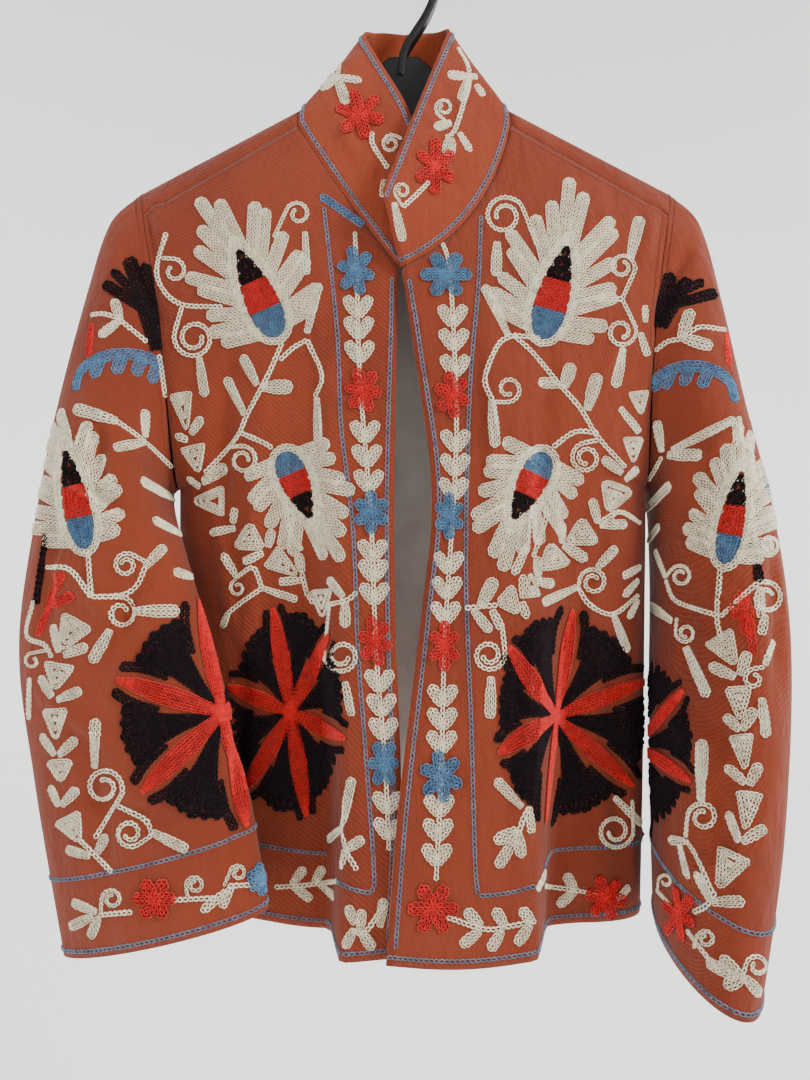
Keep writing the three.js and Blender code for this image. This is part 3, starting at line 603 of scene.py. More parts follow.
class Shell:
    """A thin wall of cloth: its outer net, normals and cells, and the tree that stitches are dropped on."""

    def __init__(self, net, thickness, closed=False, present=None, creases=(), fixed=None):
        rows, columns = net.shape[:2]
        wide = columns if closed else columns - 1
        present = np.ones((rows - 1, wide), bool) if present is None else present
        normals = net_normals(net, closed, present)
        if len(creases):
            flat = press_creases(net.reshape(-1, 3), normals.reshape(-1, 3), creases)
            net = flat.reshape(net.shape)
            normals = net_normals(net, closed, present)
        behind = normals.copy()
        if fixed is not None:
            fixed(behind)
        self.outer, self.normals, self.thickness = net, normals, thickness
        self.inner = net - behind * thickness
        self.cloth = cloth_lengths(net, closed)
        self.closed, self.present = closed, present
        index = np.arange(rows * columns).reshape(rows, columns)
        right = np.roll(index, -1, axis=1)
        cells = np.stack([index[:-1, :wide], index[1:, :wide], right[1:, :wide], right[:-1, :wide]], axis=2)
        self.cells = cells[present]
        self.tree = BVHTree.FromPolygons([Vector(p) for p in net.reshape(-1, 3)], self.cells.tolist())

    def mesh(self, name):
        count = self.outer.shape[0] * self.outer.shape[1]
        cells = self.cells
        edges = {}
        for a, b, c, d in cells.tolist():
            for p, q in ((a, b), (b, c), (c, d), (d, a)):
                if edges.pop((q, p), None) is None:
                    edges[(p, q)] = True
        rim = [(p, p + count, q + count, q) for p, q in edges]
        faces = cells.tolist() + (cells[:, ::-1] + count).tolist() + rim
        points = np.concatenate([self.outer.reshape(-1, 3), self.inner.reshape(-1, 3)]) * MM
        used = np.zeros(2 * count, bool)
        used[np.unique(np.array(faces))] = True
        place = np.cumsum(used) - 1
        data = bpy.data.meshes.new(name)
        data.from_pydata(points[used].tolist(), [], place[np.array(faces)].tolist())
        data.polygons.foreach_set("use_smooth", [k < 2 * len(cells) for k in range(len(faces))])
        layer = data.uv_layers.new(name="cloth")
        uv = np.concatenate([self.cloth.reshape(-1, 2)] * 2)[used] * MM
        corners = np.empty(len(data.loops), int)
        data.loops.foreach_get("vertex_index", corners)
        layer.data.foreach_set("uv", uv[corners].ravel())
        data.update()
        return data

    def area(self):
        """Square metres of one face."""
        flat = self.outer.reshape(-1, 3)[self.cells]
        faces = np.cross(flat[:, 2] - flat[:, 0], flat[:, 3] - flat[:, 1])
        return float(np.linalg.norm(faces, axis=1).sum() / 2) * MM * MM


def add_object(name, data, material):
    piece = bpy.data.objects.new(name, data)
    bpy.context.scene.collection.objects.link(piece)
    data.materials.append(material)
    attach(piece, "root")
    return piece


# ---------------------------------------------------------------- materials


class Recipe:
    """A node material, built a node at a time."""

    def __init__(self, name):
        self.material = bpy.data.materials.new(name)
        self.material.use_nodes = True
        self.tree = self.material.node_tree
        self.shader = self.tree.nodes["Principled BSDF"]

    def add(self, kind, inputs=None, **settings):
        node = self.tree.nodes.new("ShaderNode" + kind)
        for key, value in settings.items():
            setattr(node, key, value)
        for key, value in (inputs or {}).items():
            self.feed(node.inputs[key], value)
        return node

    def feed(self, socket, value):
        if isinstance(value, bpy.types.NodeSocket):
            self.tree.links.new(value, socket)
        else:
            socket.default_value = value

    def set(self, **values):
        for key, value in values.items():
            self.feed(self.shader.inputs[key.replace("_", " ")], value)

    def noise(self, where, scale, detail=3.0, roughness=0.55):
        inputs = {"Vector": where, "Scale": scale, "Detail": detail, "Roughness": roughness}
        return self.add("TexNoise", inputs).outputs["Fac"]

    def ramp(self, value, *stops):
        node = self.add("ValToRGB", {"Fac": value})
        while len(node.color_ramp.elements) < len(stops):
            node.color_ramp.elements.new(0.5)
        for element, (at, colour) in zip(node.color_ramp.elements, stops):
            element.position, element.color = at, (*colour, 1)
        return node.outputs["Color"]

    def blend(self, factor, a, b, kind="MIX"):
        node = self.add("Mix", {"Factor": factor}, data_type="RGBA", blend_type=kind)
        self.feed(node.inputs[6], a)
        self.feed(node.inputs[7], b)
        return node.outputs[2]

    def bump(self, height, strength, distance, normal=None):
        node = self.add("Bump", {"Height": height, "Strength": strength, "Distance": distance})
        if normal is not None:
            self.feed(node.inputs["Normal"], normal)
        return node.outputs["Normal"]


def srgb(hex_colour):
    """A colour as it looks on screen, as the shader takes it."""
    parts = [int(hex_colour[k : k + 2], 16) / 255 for k in (0, 2, 4)]
    return tuple(c / 12.92 if c <= 0.04045 else ((c + 0.055) / 1.055) ** 2.4 for c in parts)


TWILL_RIB = 0.0023  # m from one diagonal rib to the next
TWILL_LEAN = 38  # degrees of the ribs from the weft


def twill_material(name, deep, middle, pale):
    """Cotton twill: diagonal ribs, softly uneven dye, slubs and a faint nap."""
    r = Recipe(name)
    uv = r.add("UVMap", uv_map="cloth").outputs["UV"]
    place = r.add("TexCoord").outputs["Object"]
    turned = r.add("Mapping", {"Vector": uv, "Rotation": (0, 0, math.radians(TWILL_LEAN))}).outputs["Vector"]
    ribs = r.add(
        "TexWave", {"Vector": turned, "Scale": 0.314 / TWILL_RIB, "Distortion": 1.2, "Detail": 1.0, "Detail Scale": 3.0}
    ).outputs["Fac"]
    broad = r.noise(place, 7, 2, 0.5)
    fade = r.noise(place, 60, 3, 0.5)
    grain = r.noise(r.add("Mapping", {"Vector": uv, "Scale": (1.0, 0.35, 1.0)}).outputs["Vector"], 900, 2)
    colour = r.ramp(broad, (0.2, deep), (0.5, middle), (0.85, pale))
    colour = r.blend(0.12, colour, r.ramp(fade, (0.2, deep), (0.8, pale)))
    colour = r.blend(0.12, colour, r.ramp(grain, (0.3, deep), (0.75, pale)))
    colour = r.blend(0.3, colour, r.ramp(ribs, (0.2, deep), (0.8, pale)))
    height = r.add("Math", {0: ribs, 1: grain}, operation="ADD").outputs[0]
    rough = r.add("MapRange", {"Value": fade, "To Min": 0.82, "To Max": 0.95}).outputs["Result"]
    rumpled = r.add(
        "Mapping", {"Vector": place, "Scale": (1.6, 1.6, 0.7), "Rotation": (0, math.radians(18), 0)}
    ).outputs["Vector"]
    normal = r.bump(r.noise(rumpled, 24, 3, 0.55), 0.6, 0.012)
    normal = r.bump(r.noise(rumpled, 75, 3, 0.6), 0.4, 0.003, normal)
    normal = r.bump(height, 0.5, 0.0004, normal)
    r.set(Base_Color=colour, Roughness=rough, Normal=normal, Sheen_Weight=0.06, Sheen_Roughness=0.6)
    r.shader.inputs["Specular IOR Level"].default_value = 0.2
    return r.material


def plain_cloth(name, deep, pale, scale=1400, bump=0.35):
    """A fine plain weave, for the lining and the facing."""
    r = Recipe(name)
    uv = r.add("UVMap", uv_map="cloth").outputs["UV"]
    place = r.add("TexCoord").outputs["Object"]
    warp = r.noise(r.add("Mapping", {"Vector": uv, "Scale": (1, 0.12, 1)}).outputs["Vector"], scale, 2)
    weft = r.noise(r.add("Mapping", {"Vector": uv, "Scale": (0.12, 1, 1)}).outputs["Vector"], scale, 2)
    weave = r.add("Math", {0: warp, 1: weft}, operation="ADD").outputs[0]
    colour = r.ramp(r.noise(place, 30, 4), (0.3, deep), (0.7, pale))
    colour = r.blend(0.2, colour, r.ramp(weave, (0.75, deep), (1.0, pale)))
    rough = r.add("MapRange", {"Value": weave, "To Min": 0.75, "To Max": 0.92}).outputs["Result"]
    r.set(Base_Color=colour, Roughness=rough, Normal=r.bump(weave, bump, 0.0003), Sheen_Weight=0.08)
    r.shader.inputs["Specular IOR Level"].default_value = 0.3
    return r.material


def plastic_material():
    """Moulded black plastic with a fine eggshell grain and a few handling marks."""
    r = Recipe("hanger_plastic")
    place = r.add("TexCoord").outputs["Object"]
    grain = r.noise(place, 1600, 2)
    wear = r.noise(place, 60, 6, 0.7)
    rough = r.add(
        "MapRange", {"Value": wear, "From Min": 0.3, "From Max": 0.7, "To Min": 0.42, "To Max": 0.58}
    ).outputs["Result"]
    colour = r.ramp(wear, (0.3, srgb("060708")), (0.75, srgb("0d0e10")))
    r.set(Base_Color=colour, Roughness=rough, Normal=r.bump(grain, 0.12, 0.0003))
    r.shader.inputs["Specular IOR Level"].default_value = 0.22
    return r.material


# ---------------------------------------------------------------- the studio

FLOOR_Z = -1.45
STUDIO_RADIUS, STUDIO_CURVE, STUDIO_HIGH = 2.3, 0.7, 3.4


def make_studio():
    """A pale floor that curves up into a pale wall all round."""
    profile = [(0.0, FLOOR_Z), (STUDIO_RADIUS - STUDIO_CURVE, FLOOR_Z)]
    for k in range(1, 13):
        angle = math.radians(90 * k / 12)
        profile.append(
            (
                STUDIO_RADIUS - STUDIO_CURVE + STUDIO_CURVE * math.sin(angle),
                FLOOR_Z + STUDIO_CURVE * (1 - math.cos(angle)),
            )
        )
    profile.append((STUDIO_RADIUS, FLOOR_Z + STUDIO_HIGH))
    steps = 96
    points, faces = [(0, 0, FLOOR_Z)], []
    for radius, z in profile[1:]:
        for k in range(steps):
            angle = 2 * math.pi * k / steps
            points.append((radius * math.cos(angle), radius * math.sin(angle), z))
    for k in range(steps):
        faces.append((0, 1 + k, 1 + (k + 1) % steps))
    for ring in range(len(profile) - 2):
        a = 1 + ring * steps
        for k in range(steps):
            n = (k + 1) % steps
            faces.append((a + k, a + steps + k, a + steps + n, a + n))
    data = bpy.data.meshes.new("studio")
    data.from_pydata(points, [], faces)
    data.polygons.foreach_set("use_smooth", [True] * len(faces))
    r = Recipe("studio_paint")
    r.set(Base_Color=(*srgb("f2f2f1"), 1), Roughness=0.9, Emission_Color=(1, 1, 1, 1), Emission_Strength=0.42)
    data.materials.append(r.material)
    studio = bpy.data.objects.new("studio", data)
    bpy.context.scene.collection.objects.link(studio)


LIGHTS = table(
    "x y z size power warm",
    (1.4, -0.9, 0.6, 0.45, 38, 0.4),
    (-1.5, -0.6, 0.5, 0.8, 6, 0.0),
    (-0.1, -0.9, 1.3, 0.9, 3, 0.2),
    (-0.9, 1.2, 0.5, 1.2, 9, 0.0),
    (1.1, 1.2, 0.3, 1.2, 9, 0.3),
)
LIGHT_TARGET = Vector((0, 0, -0.45))


def make_lights():
    for k, row in enumerate(LIGHTS):
        data = bpy.data.lights.new("soft_light_%d" % k, "AREA")
        data.shape, data.size = "DISK", row["size"]
        data.energy = row["power"]
        data.color = (1.0, 1.0 - 0.06 * row["warm"], 1.0 - 0.14 * row["warm"])
        light = bpy.data.objects.new(data.name, data)
        light.location = (row["x"], row["y"], row["z"])
        light.rotation_euler = (LIGHT_TARGET - light.location).to_track_quat("-Z", "Y").to_euler()
        bpy.context.scene.collection.objects.link(light)
    world = bpy.data.worlds.new("studio_air")
    world.use_nodes = True
    background = world.node_tree.nodes["Background"]
    background.inputs["Color"].default_value = (0.93, 0.95, 1.0, 1)
    background.inputs["Strength"].default_value = 0.17
    bpy.context.scene.world = world


# ---------------------------------------------------------------- the cloth pieces

DEEP, MIDDLE, PALE = srgb("581b0a"), srgb("6d2812"), srgb("7d3319")
twill = twill_material("rust_twill", DEEP, MIDDLE, PALE)
collar_twill = twill_material("collar_twill", srgb("65210d"), srgb("792e16"), srgb("88391d"))
lining_cloth = plain_cloth("pale_lining", srgb("d3cdc6"), srgb("ece7e0"))
facing_cloth = plain_cloth("orange_facing", srgb("b5431d"), srgb("d8562a"))

SHOULDER_NORMAL = Vector((0.4, -0.62, 0.68)).normalized()


def front_shell(side):
    sign = side["sign"]
    seam = -1 if sign > 0 else 0

    def fixed(behind):
        behind[0] = (SHOULDER_NORMAL.x * sign, SHOULDER_NORMAL.y, SHOULDER_NORMAL.z)
        behind[int(ARMPIT_AT * FRONT_DOWN) + 1 :, seam] = (sign, 0, 0)

    return Shell(front_net(side), CLOTH, creases=CREASES, fixed=fixed)


def back_shell():
    net = back_net()
    rows, columns = net.shape[:2]
    present = np.ones((rows - 1, columns - 1), bool)
    present[:WRAP_DOWN, BACK_HALF - BACK_NECK_ACROSS : BACK_HALF + BACK_NECK_ACROSS] = False

    def fixed(behind):
        for j in range(columns):
            sign = 1 if j < BACK_HALF else -1
            behind[0, j] = (SHOULDER_NORMAL.x * sign, SHOULDER_NORMAL.y, SHOULDER_NORMAL.z)
        first = WRAP_DOWN + math.ceil(BACK_ARMPIT_AT ** (1 / 1.3) * BACK_DOWN)
        behind[first:, 0] = (1, 0, 0)
        behind[first:, -1] = (-1, 0, 0)

    return Shell(net, CLOTH, present=present, creases=HIDDEN_CREASES, fixed=fixed)


shells = {"back": back_shell(), "collar": Shell(collar_net(), COLLAR_CLOTH, creases=CREASES)}
for name, side in SIDES.items():
    shells["front_" + name] = front_shell(side)
    shells["sleeve_" + name] = Shell(sleeve_net(side), CLOTH, closed=True, creases=CREASES)


def behind_strip(shell, rows, columns, every=2):
    """A thinner layer behind part of a panel, on every second point of its net."""
    net = shell.outer - shell.normals * (CLOTH + LAYER_GAP)
    return Shell(net[rows, columns][::every, ::every], LINING_CLOTH)


first_row = WRAP_DOWN + int((2 / 20) * BACK_DOWN)
shells["lining_back"] = behind_strip(shells["back"], slice(first_row, -4), slice(12, -12))
for name, side in SIDES.items():
    wide = sum(across < side["facing"] * 0.75 for across in spaced(FRONT_ACROSS))
    columns = slice(0, wide) if side["sign"] > 0 else slice(-wide, None)
    start = int(NECK_AT * FRONT_DOWN) + 8
    shells["facing_" + name] = behind_strip(shells["front_" + name], slice(start, -6), columns)

CLOTH_FINISH = {
    "back": (twill, "twill"),
    "front_left": (twill, "twill"),
    "front_right": (twill, "twill"),
    "sleeve_left": (twill, "twill"),
    "sleeve_right": (twill, "twill"),
    "collar": (collar_twill, "twill"),
    "lining_back": (lining_cloth, "lining"),
    "facing_left": (facing_cloth, "facing"),
    "facing_right": (facing_cloth, "facing"),
}
cloth_pieces = {}
for node, (finish, slot) in CLOTH_FINISH.items():
    piece = add_object(node + "_cloth", shells[node].mesh(node + "_cloth"), finish)
    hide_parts(node)
    cloth_pieces[node] = piece

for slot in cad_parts["hanger"].material_slots:
    slot.material = plastic_material()

# ---------------------------------------------------------------- chain stitch
# A stitch is one loop of thread. Its length, width and the thread's height are in mm, by yarn.

# tint and shade are each yarn's pale and dark tones: stitches vary at random between them, and each loop's foot is
# pulled past the shade as painted shade.
YARNS = {
    "cream": dict(pitch=3.6, wide=3.3, high=1.3, thread=1.4, tint="f8efd8", shade="d9c9a5"),
    "red": dict(pitch=3.6, wide=3.2, high=1.2, thread=1.4, tint="dd100d", shade="a50b0a"),
    "blue": dict(pitch=3.6, wide=3.2, high=1.2, thread=1.35, tint="5b87a8", shade="365a84"),
    "black": dict(pitch=4.3, wide=4.2, high=1.5, thread=2.05, tint="1a0c12", shade="0a0507"),
    "grey": dict(pitch=3.7, wide=3.5, high=0.95, thread=1.2, tint="74849a", shade="465468"),
    "seam": dict(pitch=3.2, wide=0.9, high=0.35, thread=0.6, tint="7a2c14", shade="5c1e0c"),
}
STITCH_SIDES = 6  # points round a loop
ROW_SHARE = 0.88  # how far apart rows lie, as a share of their width
STITCH_REACH = 1.42  # a loop's length, in pitches, so that each one holds the next


def stitch_template(yarn):
    """One loop round the origin, (8, 3, 3): points along its thread, each with an outer, inner and top corner."""
    half_long, half_wide = yarn["pitch"] * STITCH_REACH / 2, (yarn["wide"] - yarn["thread"]) / 2
    corners = []
    for k in range(STITCH_SIDES):
        angle = 2 * math.pi * k / STITCH_SIDES
        forward, sideways = math.cos(angle), math.sin(angle)
        full = 1.1 + 0.16 * forward  # broad in front, narrow behind
        centre = np.array([forward * (half_long - yarn["thread"] / 2), sideways * half_wide * full, 0.0])
        out = np.array([forward, sideways, 0.0]) * yarn["thread"] / 2
        lean = 0.14 * yarn["high"] * forward
        corners.append(
            [centre + out + (0, 0, -0.15), centre - out + (0, 0, -0.15), centre + (0, 0, yarn["high"] + lean)]
        )
    return np.array(corners)


class Stitches:
    """Loops of one yarn on one panel, kept as frames until they become a mesh."""

    def __init__(self):
        self.frames = []

    def add(self, place, along, normal, stretch, broad):
        self.frames.append((place, along, normal, stretch, broad))

    def mesh(self, name, yarn, seed):
        rng = np.random.default_rng(seed)
        place = np.array([f[0] for f in self.frames], float)
        along = np.array([f[1] for f in self.frames], float)
        normal = np.array([f[2] for f in self.frames], float)
        stretch = np.array([f[3] for f in self.frames], float)
        broad = np.array([f[4] for f in self.frames], float)
        count = len(place)
        side = np.cross(normal, along)
        side /= np.linalg.norm(side, axis=1, keepdims=True)
        along = np.cross(side, normal)
        swing = rng.normal(0, 0.07, count)[:, None]
        along, side = along * np.cos(swing) + side * np.sin(swing), side * np.cos(swing) - along * np.sin(swing)
        size = rng.normal(1, 0.05, (count, 2))
        template = stitch_template(yarn).reshape(-1, 3)
        points = (
            place[:, None]
            + along[:, None] * (template[None, :, :1] * (stretch * size[:, 0])[:, None, None])
            + side[:, None] * (template[None, :, 1:2] * (broad * size[:, 1])[:, None, None])
            + normal[:, None] * template[None, :, 2:3]
        )
        quads = []
        for k in range(STITCH_SIDES):
            n = (k + 1) % STITCH_SIDES
            for a, b in ((0, 2), (2, 1), (1, 0)):
                quads.append((3 * k + a, 3 * n + a, 3 * n + b, 3 * k + b))
        faces = (np.array(quads)[None] + 3 * STITCH_SIDES * np.arange(count)[:, None, None]).reshape(-1, 4)
        data = bpy.data.meshes.new(name)
        data.vertices.add(points.shape[0] * points.shape[1])
        data.vertices.foreach_set("co", (points * MM).ravel())
        data.loops.add(faces.size)
        data.loops.foreach_set("vertex_index", faces.ravel().astype(np.int32))
        data.polygons.add(len(faces))
        data.polygons.foreach_set("loop_start", np.arange(0, faces.size, 4, dtype=np.int32))
        data.update(calc_edges=True)
        data.polygons.foreach_set("use_smooth", np.ones(len(faces), bool))
        tint, shade = (np.array(srgb(yarn[key])) for key in ("tint", "shade"))
        mixed = np.clip(rng.normal(0.3, 0.22, (count, 1)), 0, 1)
        colour = np.ones((count, 3 * STITCH_SIDES, 4))
        colour[..., :3] = (tint + (shade - tint) * mixed)[:, None]
        # The two lower corners of every loop, where it sits on the cloth, are darkened past the yarn's shade: painted
        # shade at the loop's foot.
        colour[:, 0::3, :3] = colour[:, 1::3, :3] = (colour[:, 0::3, :3] * 0.25 + shade * 0.75) * 0.8
        layer = data.color_attributes.new("yarn", "FLOAT_COLOR", "POINT")
        layer.data.foreach_set("color", colour.ravel())
        data.validate()
        return data


sewn = {}  # (panel, yarn) -> Stitches


def smooth_path(points, step=1.5):
    """Evenly spaced points on a smooth curve through a few, in pixels."""
    points = [np.array(p, float) for p in points]
    if len(points) == 2:
        points.insert(1, (points[0] + points[1]) / 2)
    ends = [2 * points[0] - points[1], *points, 2 * points[-1] - points[-2]]
    fine = []
    for p0, p1, p2, p3 in zip(ends, ends[1:], ends[2:], ends[3:]):
        count = max(int(np.hypot(*(p2 - p1)) / step), 1)
        for k in range(count):
            t = k / count
            fine.append(
                0.5 * (2 * p1 + (p2 - p0) * t + (2 * p0 - 5 * p1 + 4 * p2 - p3) * t**2 + (3 * p1 - p0 - 3 * p2 + p3) * t**3)
            )
    fine.append(points[-1])
    return fine


def drop(panel, pixels):
    """Runs of (point, normal) where the camera's rays through the pixels meet the panel's outer face."""
    tree, runs, run = shells[panel].tree, [], []
    for x, y in pixels:
        ray = ray_through(x, y)
        place, normal, _, _ = tree.ray_cast(CAMERA, ray)
        if place is not None and normal.dot(ray) < -0.04:
            if run and (place - run[-1][0]).length > 14:
                runs.append(run)
                run = []
            run.append((place, normal))
        elif run:
            runs.append(run)
            run = []
    if run:
        runs.append(run)
    return [run for run in runs if len(run) > 1]


def settle(panel, place, normal):
    """The nearest point of the panel, with its normal turned towards the one given."""
    near, facing, _, _ = shells[panel].tree.find_nearest(place, 25)
    if near is None:
        return place, normal
    return near, (facing if facing.dot(normal) > 0 else -facing)


def sew(panel, yarn, run, lift=0.0, broad=1.0, fine=1.0):
    """Chain stitches along a run of (point, normal)."""
    pitch = YARNS[yarn]["pitch"] * fine
    places = np.array([p for p, _ in run])
    normals = np.array([n for _, n in run])
    steps = np.linalg.norm(np.diff(places, axis=0), axis=1)
    length = np.concatenate([[0], np.cumsum(steps)])
    if length[-1] < pitch * 0.6:
        return
    count = max(round(length[-1] / pitch), 1)
    at = (np.arange(count) + 0.5) * length[-1] / count
    reach = 0.4 * pitch
    centre = np.stack([np.interp(at, length, places[:, k]) for k in range(3)], axis=1)
    ahead = np.stack([np.interp(at + reach, length, places[:, k]) for k in range(3)], axis=1)
    behind = np.stack([np.interp(at - reach, length, places[:, k]) for k in range(3)], axis=1)
    normal = np.stack([np.interp(at, length, normals[:, k]) for k in range(3)], axis=1)
    normal /= np.linalg.norm(normal, axis=1, keepdims=True)
    along = ahead - behind
    along /= np.maximum(np.linalg.norm(along, axis=1, keepdims=True), 1e-6)
    stitches = sewn.setdefault((panel, yarn), Stitches())
    stretch = length[-1] / count / pitch
    for k in range(count):
        stitches.add(centre[k] + normal[k] * lift, along[k], normal[k], stretch * fine, broad * fine)


def line(panel, yarn, points, lift=0.0, broad=1.0, fine=1.0):
    for run in drop(panel, smooth_path(points)):
        sew(panel, yarn, run, lift, broad, fine)


class Spine:
    """The middle of a narrow shape, on the cloth: it turns (distance along, distance aside) into places."""

    def __init__(self, panel, run):
        self.panel = panel
        self.places = np.array([p for p, _ in run])
        self.normals = np.array([n for _, n in run])
        steps = np.linalg.norm(np.diff(self.places, axis=0), axis=1)
        self.length = np.concatenate([[0], np.cumsum(steps)])
        self.total = self.length[-1]

    def at(self, distance, aside):
        inside = clamp(distance, 0, self.total)
        pick = lambda values, where: Vector([float(np.interp(where, self.length, values[:, k])) for k in range(3)])
        place, normal = pick(self.places, inside), pick(self.normals, inside).normalized()
        along = pick(self.places, min(inside + 2, self.total)) - pick(self.places, max(inside - 2, 0))
        along.normalize()
        side = normal.cross(along).normalized()
        return settle(self.panel, place + side * aside + along * (distance - inside), normal)


def finger(panel, yarn, points, wide, root=0.45, lift=0.0):
    """A narrow leaf or petal, wide in pixels, from its root to its round tip: rows go up one side, round the tip
    and down the other, and a last row fills the middle."""
    wide_mm = wide * PIXEL * 1.06
    rows = max(round(wide_mm / (YARNS[yarn]["wide"] * ROW_SHARE)), 1)
    spacing = wide_mm / rows
    broad = spacing / (YARNS[yarn]["wide"] * ROW_SHARE)
    for run in drop(panel, smooth_path(points)):
        spine = Spine(panel, run)
        if spine.total < spacing:
            continue
        tip = min(wide_mm / 2, spine.total * 0.5)
        shaft = spine.total - tip
        count = max(int(shaft / 2), 2)
        swell = [(shaft * k / count, mix(root, 1, min(k / (0.55 * count), 1))) for k in range(count)]
        aside = (wide_mm - spacing) / 2
        while aside > spacing * 0.3:
            path = [spine.at(along, aside * share) for along, share in swell]
            bends = max(int(aside * math.pi / 1.5), 3)
            for k in range(bends + 1):
                angle = math.pi * k / bends
                path.append(spine.at(shaft + aside * math.sin(angle), aside * math.cos(angle)))
            path += [spine.at(along, -aside * share) for along, share in swell[::-1]]
            sew(panel, yarn, path, lift, broad)
            aside -= spacing
        if rows % 2:
            stop = spine.total - (tip * 0.6 if rows > 1 else 0)
            sew(panel, yarn, [spine.at(stop * k / count, 0) for k in range(count + 1)], lift, broad)


def blade(panel, yarn, start, end, half_width, lift=0.0, fine=1.0):
    """A narrow shape filled by rows along it, by its half width (pixels) at each share of its length."""
    axis = np.array(end, float) - np.array(start, float)
    widest = max(half_width(k / 20) for k in range(21))
    rows = max(round(2 * widest * PIXEL * 0.95 / (YARNS[yarn]["wide"] * ROW_SHARE * fine)), 1)
    for run in drop(panel, smooth_path([start, end])):
        spine = Spine(panel, run)
        count = max(int(spine.total / 2.5), 2)
        shares = []
        for k in range(count + 1):
            seen = np.array(to_pixel(spine.at(spine.total * k / count, 0)[0])[:2]) - np.array(start)
            shares.append(clamp(float(np.dot(seen, axis) / np.dot(axis, axis))))
        for row in range(rows):
            side = ((2 * row + 1) / rows - 1) * PIXEL * 0.95
            path = [spine.at(spine.total * k / count, side * half_width(u)) for k, u in enumerate(shares)]
            sew(panel, yarn, path, lift, 1.1, fine)


def inside(outline, x, y):
    odd = False
    for (x0, y0), (x1, y1) in zip(outline, outline[1:] + outline[:1]):
        if (y0 > y) != (y1 > y) and x < (x1 - x0) * (y - y0) / (y1 - y0) + x0:
            odd = not odd
    return odd


def fill(panel, yarn, outline, lift=0.0, fine=1.0, swell=1.1):
    """Fills a closed outline, in pixels, with rings of stitches, one inside the other."""
    shape = np.array(outline, float)
    before, after = np.roll(shape, 1, axis=0), np.roll(shape, -1, axis=0)
    normal = np.stack([before[:, 1] - after[:, 1], after[:, 0] - before[:, 0]], axis=1)
    normal /= np.maximum(np.linalg.norm(normal, axis=1, keepdims=True), 1e-9)
    if ((shape.mean(axis=0) - shape) * normal).sum() < 0:
        normal = -normal
    edge = after - shape

    def ring(inward):
        kept = []
        for point in shape + normal * inward:
            t = np.clip(((point - shape) * edge).sum(axis=1) / np.maximum((edge**2).sum(axis=1), 1e-9), 0, 1)
            near = np.linalg.norm(point - shape - t[:, None] * edge, axis=1).min()
            if near > inward * 0.9 and inside(outline, *point):
                kept.append(tuple(point))
        return kept

    deepest = 1.0
    while len(ring(deepest + 0.6)) > 1:
        deepest += 0.6
    natural = YARNS[yarn]["wide"] * ROW_SHARE * fine / (PIXEL * 0.9)
    rows = max(round((deepest + 0.3) / natural), 1)
    spacing = (deepest + 0.3) / rows
    for k in range(rows):
        kept = ring((k + 0.5) * spacing)
        if len(kept) > 1:
            line(panel, yarn, kept + kept[:1], lift, swell * spacing / natural, fine)


def shape_along(start, end, half_width, u0=0.0, u1=1.0, bend=0.0, count=24):
    """A closed outline round the line from start to end, by its half width (pixels) at each share of its length."""
    start, end = np.array(start, float), np.array(end, float)
    axis = end - start
    side = np.array([-axis[1], axis[0]]) / np.hypot(*axis)
    left, right = [], []
    for k in range(count + 1):
        u = mix(u0, u1, k / count)
        middle = start + axis * u + side * (bend * 4 * u * (1 - u))
        left.append(tuple(middle + side * half_width(u)))
        right.append(tuple(middle - side * half_width(u)))
    return left + right[::-1]


def teardrop(wide):
    """Pointed at its start and blunt at its end."""
    return lambda u: wide / 2 * 2.36 * max(u, 0) ** 0.9 * max(1 - u, 0) ** 0.45


def bell(wide):
    """A point at its start that opens to a wide, softly rounded end."""
    return lambda u: wide / 2 * (0.12 + 0.88 * clamp(u) ** 0.85) * (1 - 0.45 * clamp((u - 0.82) / 0.2) ** 2)


def feather(panel, tip, base, wide, bands, fingers):
    """The suzani's flaming almond: a banded core with a cream rim and cream flames round it."""
    half = teardrop(wide)
    for root_x, root_y, tip_x, tip_y, flame in fingers:
        finger(panel, "cream", [(root_x, root_y), (tip_x, tip_y)], flame, root=0.95)
    axis = np.array(base, float) - np.array(tip, float)
    unit = axis / np.hypot(*axis)
    for grow in (2.4, 6.4):
        top, low = np.array(tip) - unit * grow * 1.5, np.array(base) + unit * grow * 0.9
        rim = shape_along(top, low, lambda u: half(u) + grow * min(1, 0.25 + 3 * u, 0.25 + 4 * (1 - u)), count=30)
        line(panel, "cream", rim + rim[:1], lift=0.25)
    start = 0.02
    for yarn, stop in bands:
        fill(panel, yarn, shape_along(tip, base, half, start, stop), lift=0.35, fine=0.8)
        start = stop - 0.015


# ---------------------------------------------------------------- the pattern's motifs
# A traditional suzani: rosettes, banded almonds with flames, palmettes, bells, vines, curls and leaves. Each motif's
# outline comes from its function. The tables say where one sits, how large it is and which way it points, and stems
# and borders run through a few points. All are in pixels of the photo, read off it, and follow its layout.


def leaves(panel, *rows, yarn="cream"):
    """Rows of tipX, tipY, rootX, rootY, wide."""
    for tip_x, tip_y, root_x, root_y, wide in rows:
        finger(panel, yarn, [(root_x, root_y), (tip_x, tip_y)], wide)


def stems(panel, *paths):
    for path in paths:
        line(panel, "cream", path, broad=1.35)


def curls(panel, *rows):
    """Rows of rootX, rootY, then the centre, radius and turns of the curl it winds into (below 0 to the left)."""
    for root_x, root_y, x, y, radius, turns in rows:
        away, way = math.hypot(root_x - x, root_y - y), math.copysign(1, turns)
        start = math.atan2(root_y - y, root_x - x) + way * math.acos(min(radius / max(away, 1e-6), 1))
        count = int(abs(turns) * 10) + 4
        path = [(root_x, root_y)]
        for k in range(count + 1):
            angle, reach = start + 2 * math.pi * turns * k / count, radius * (1 - 0.62 * k / count)
            path.append((x + reach * math.cos(angle), y + reach * math.sin(angle)))
        line(panel, "cream", path, broad=min(1.25, 0.55 + radius / 22))


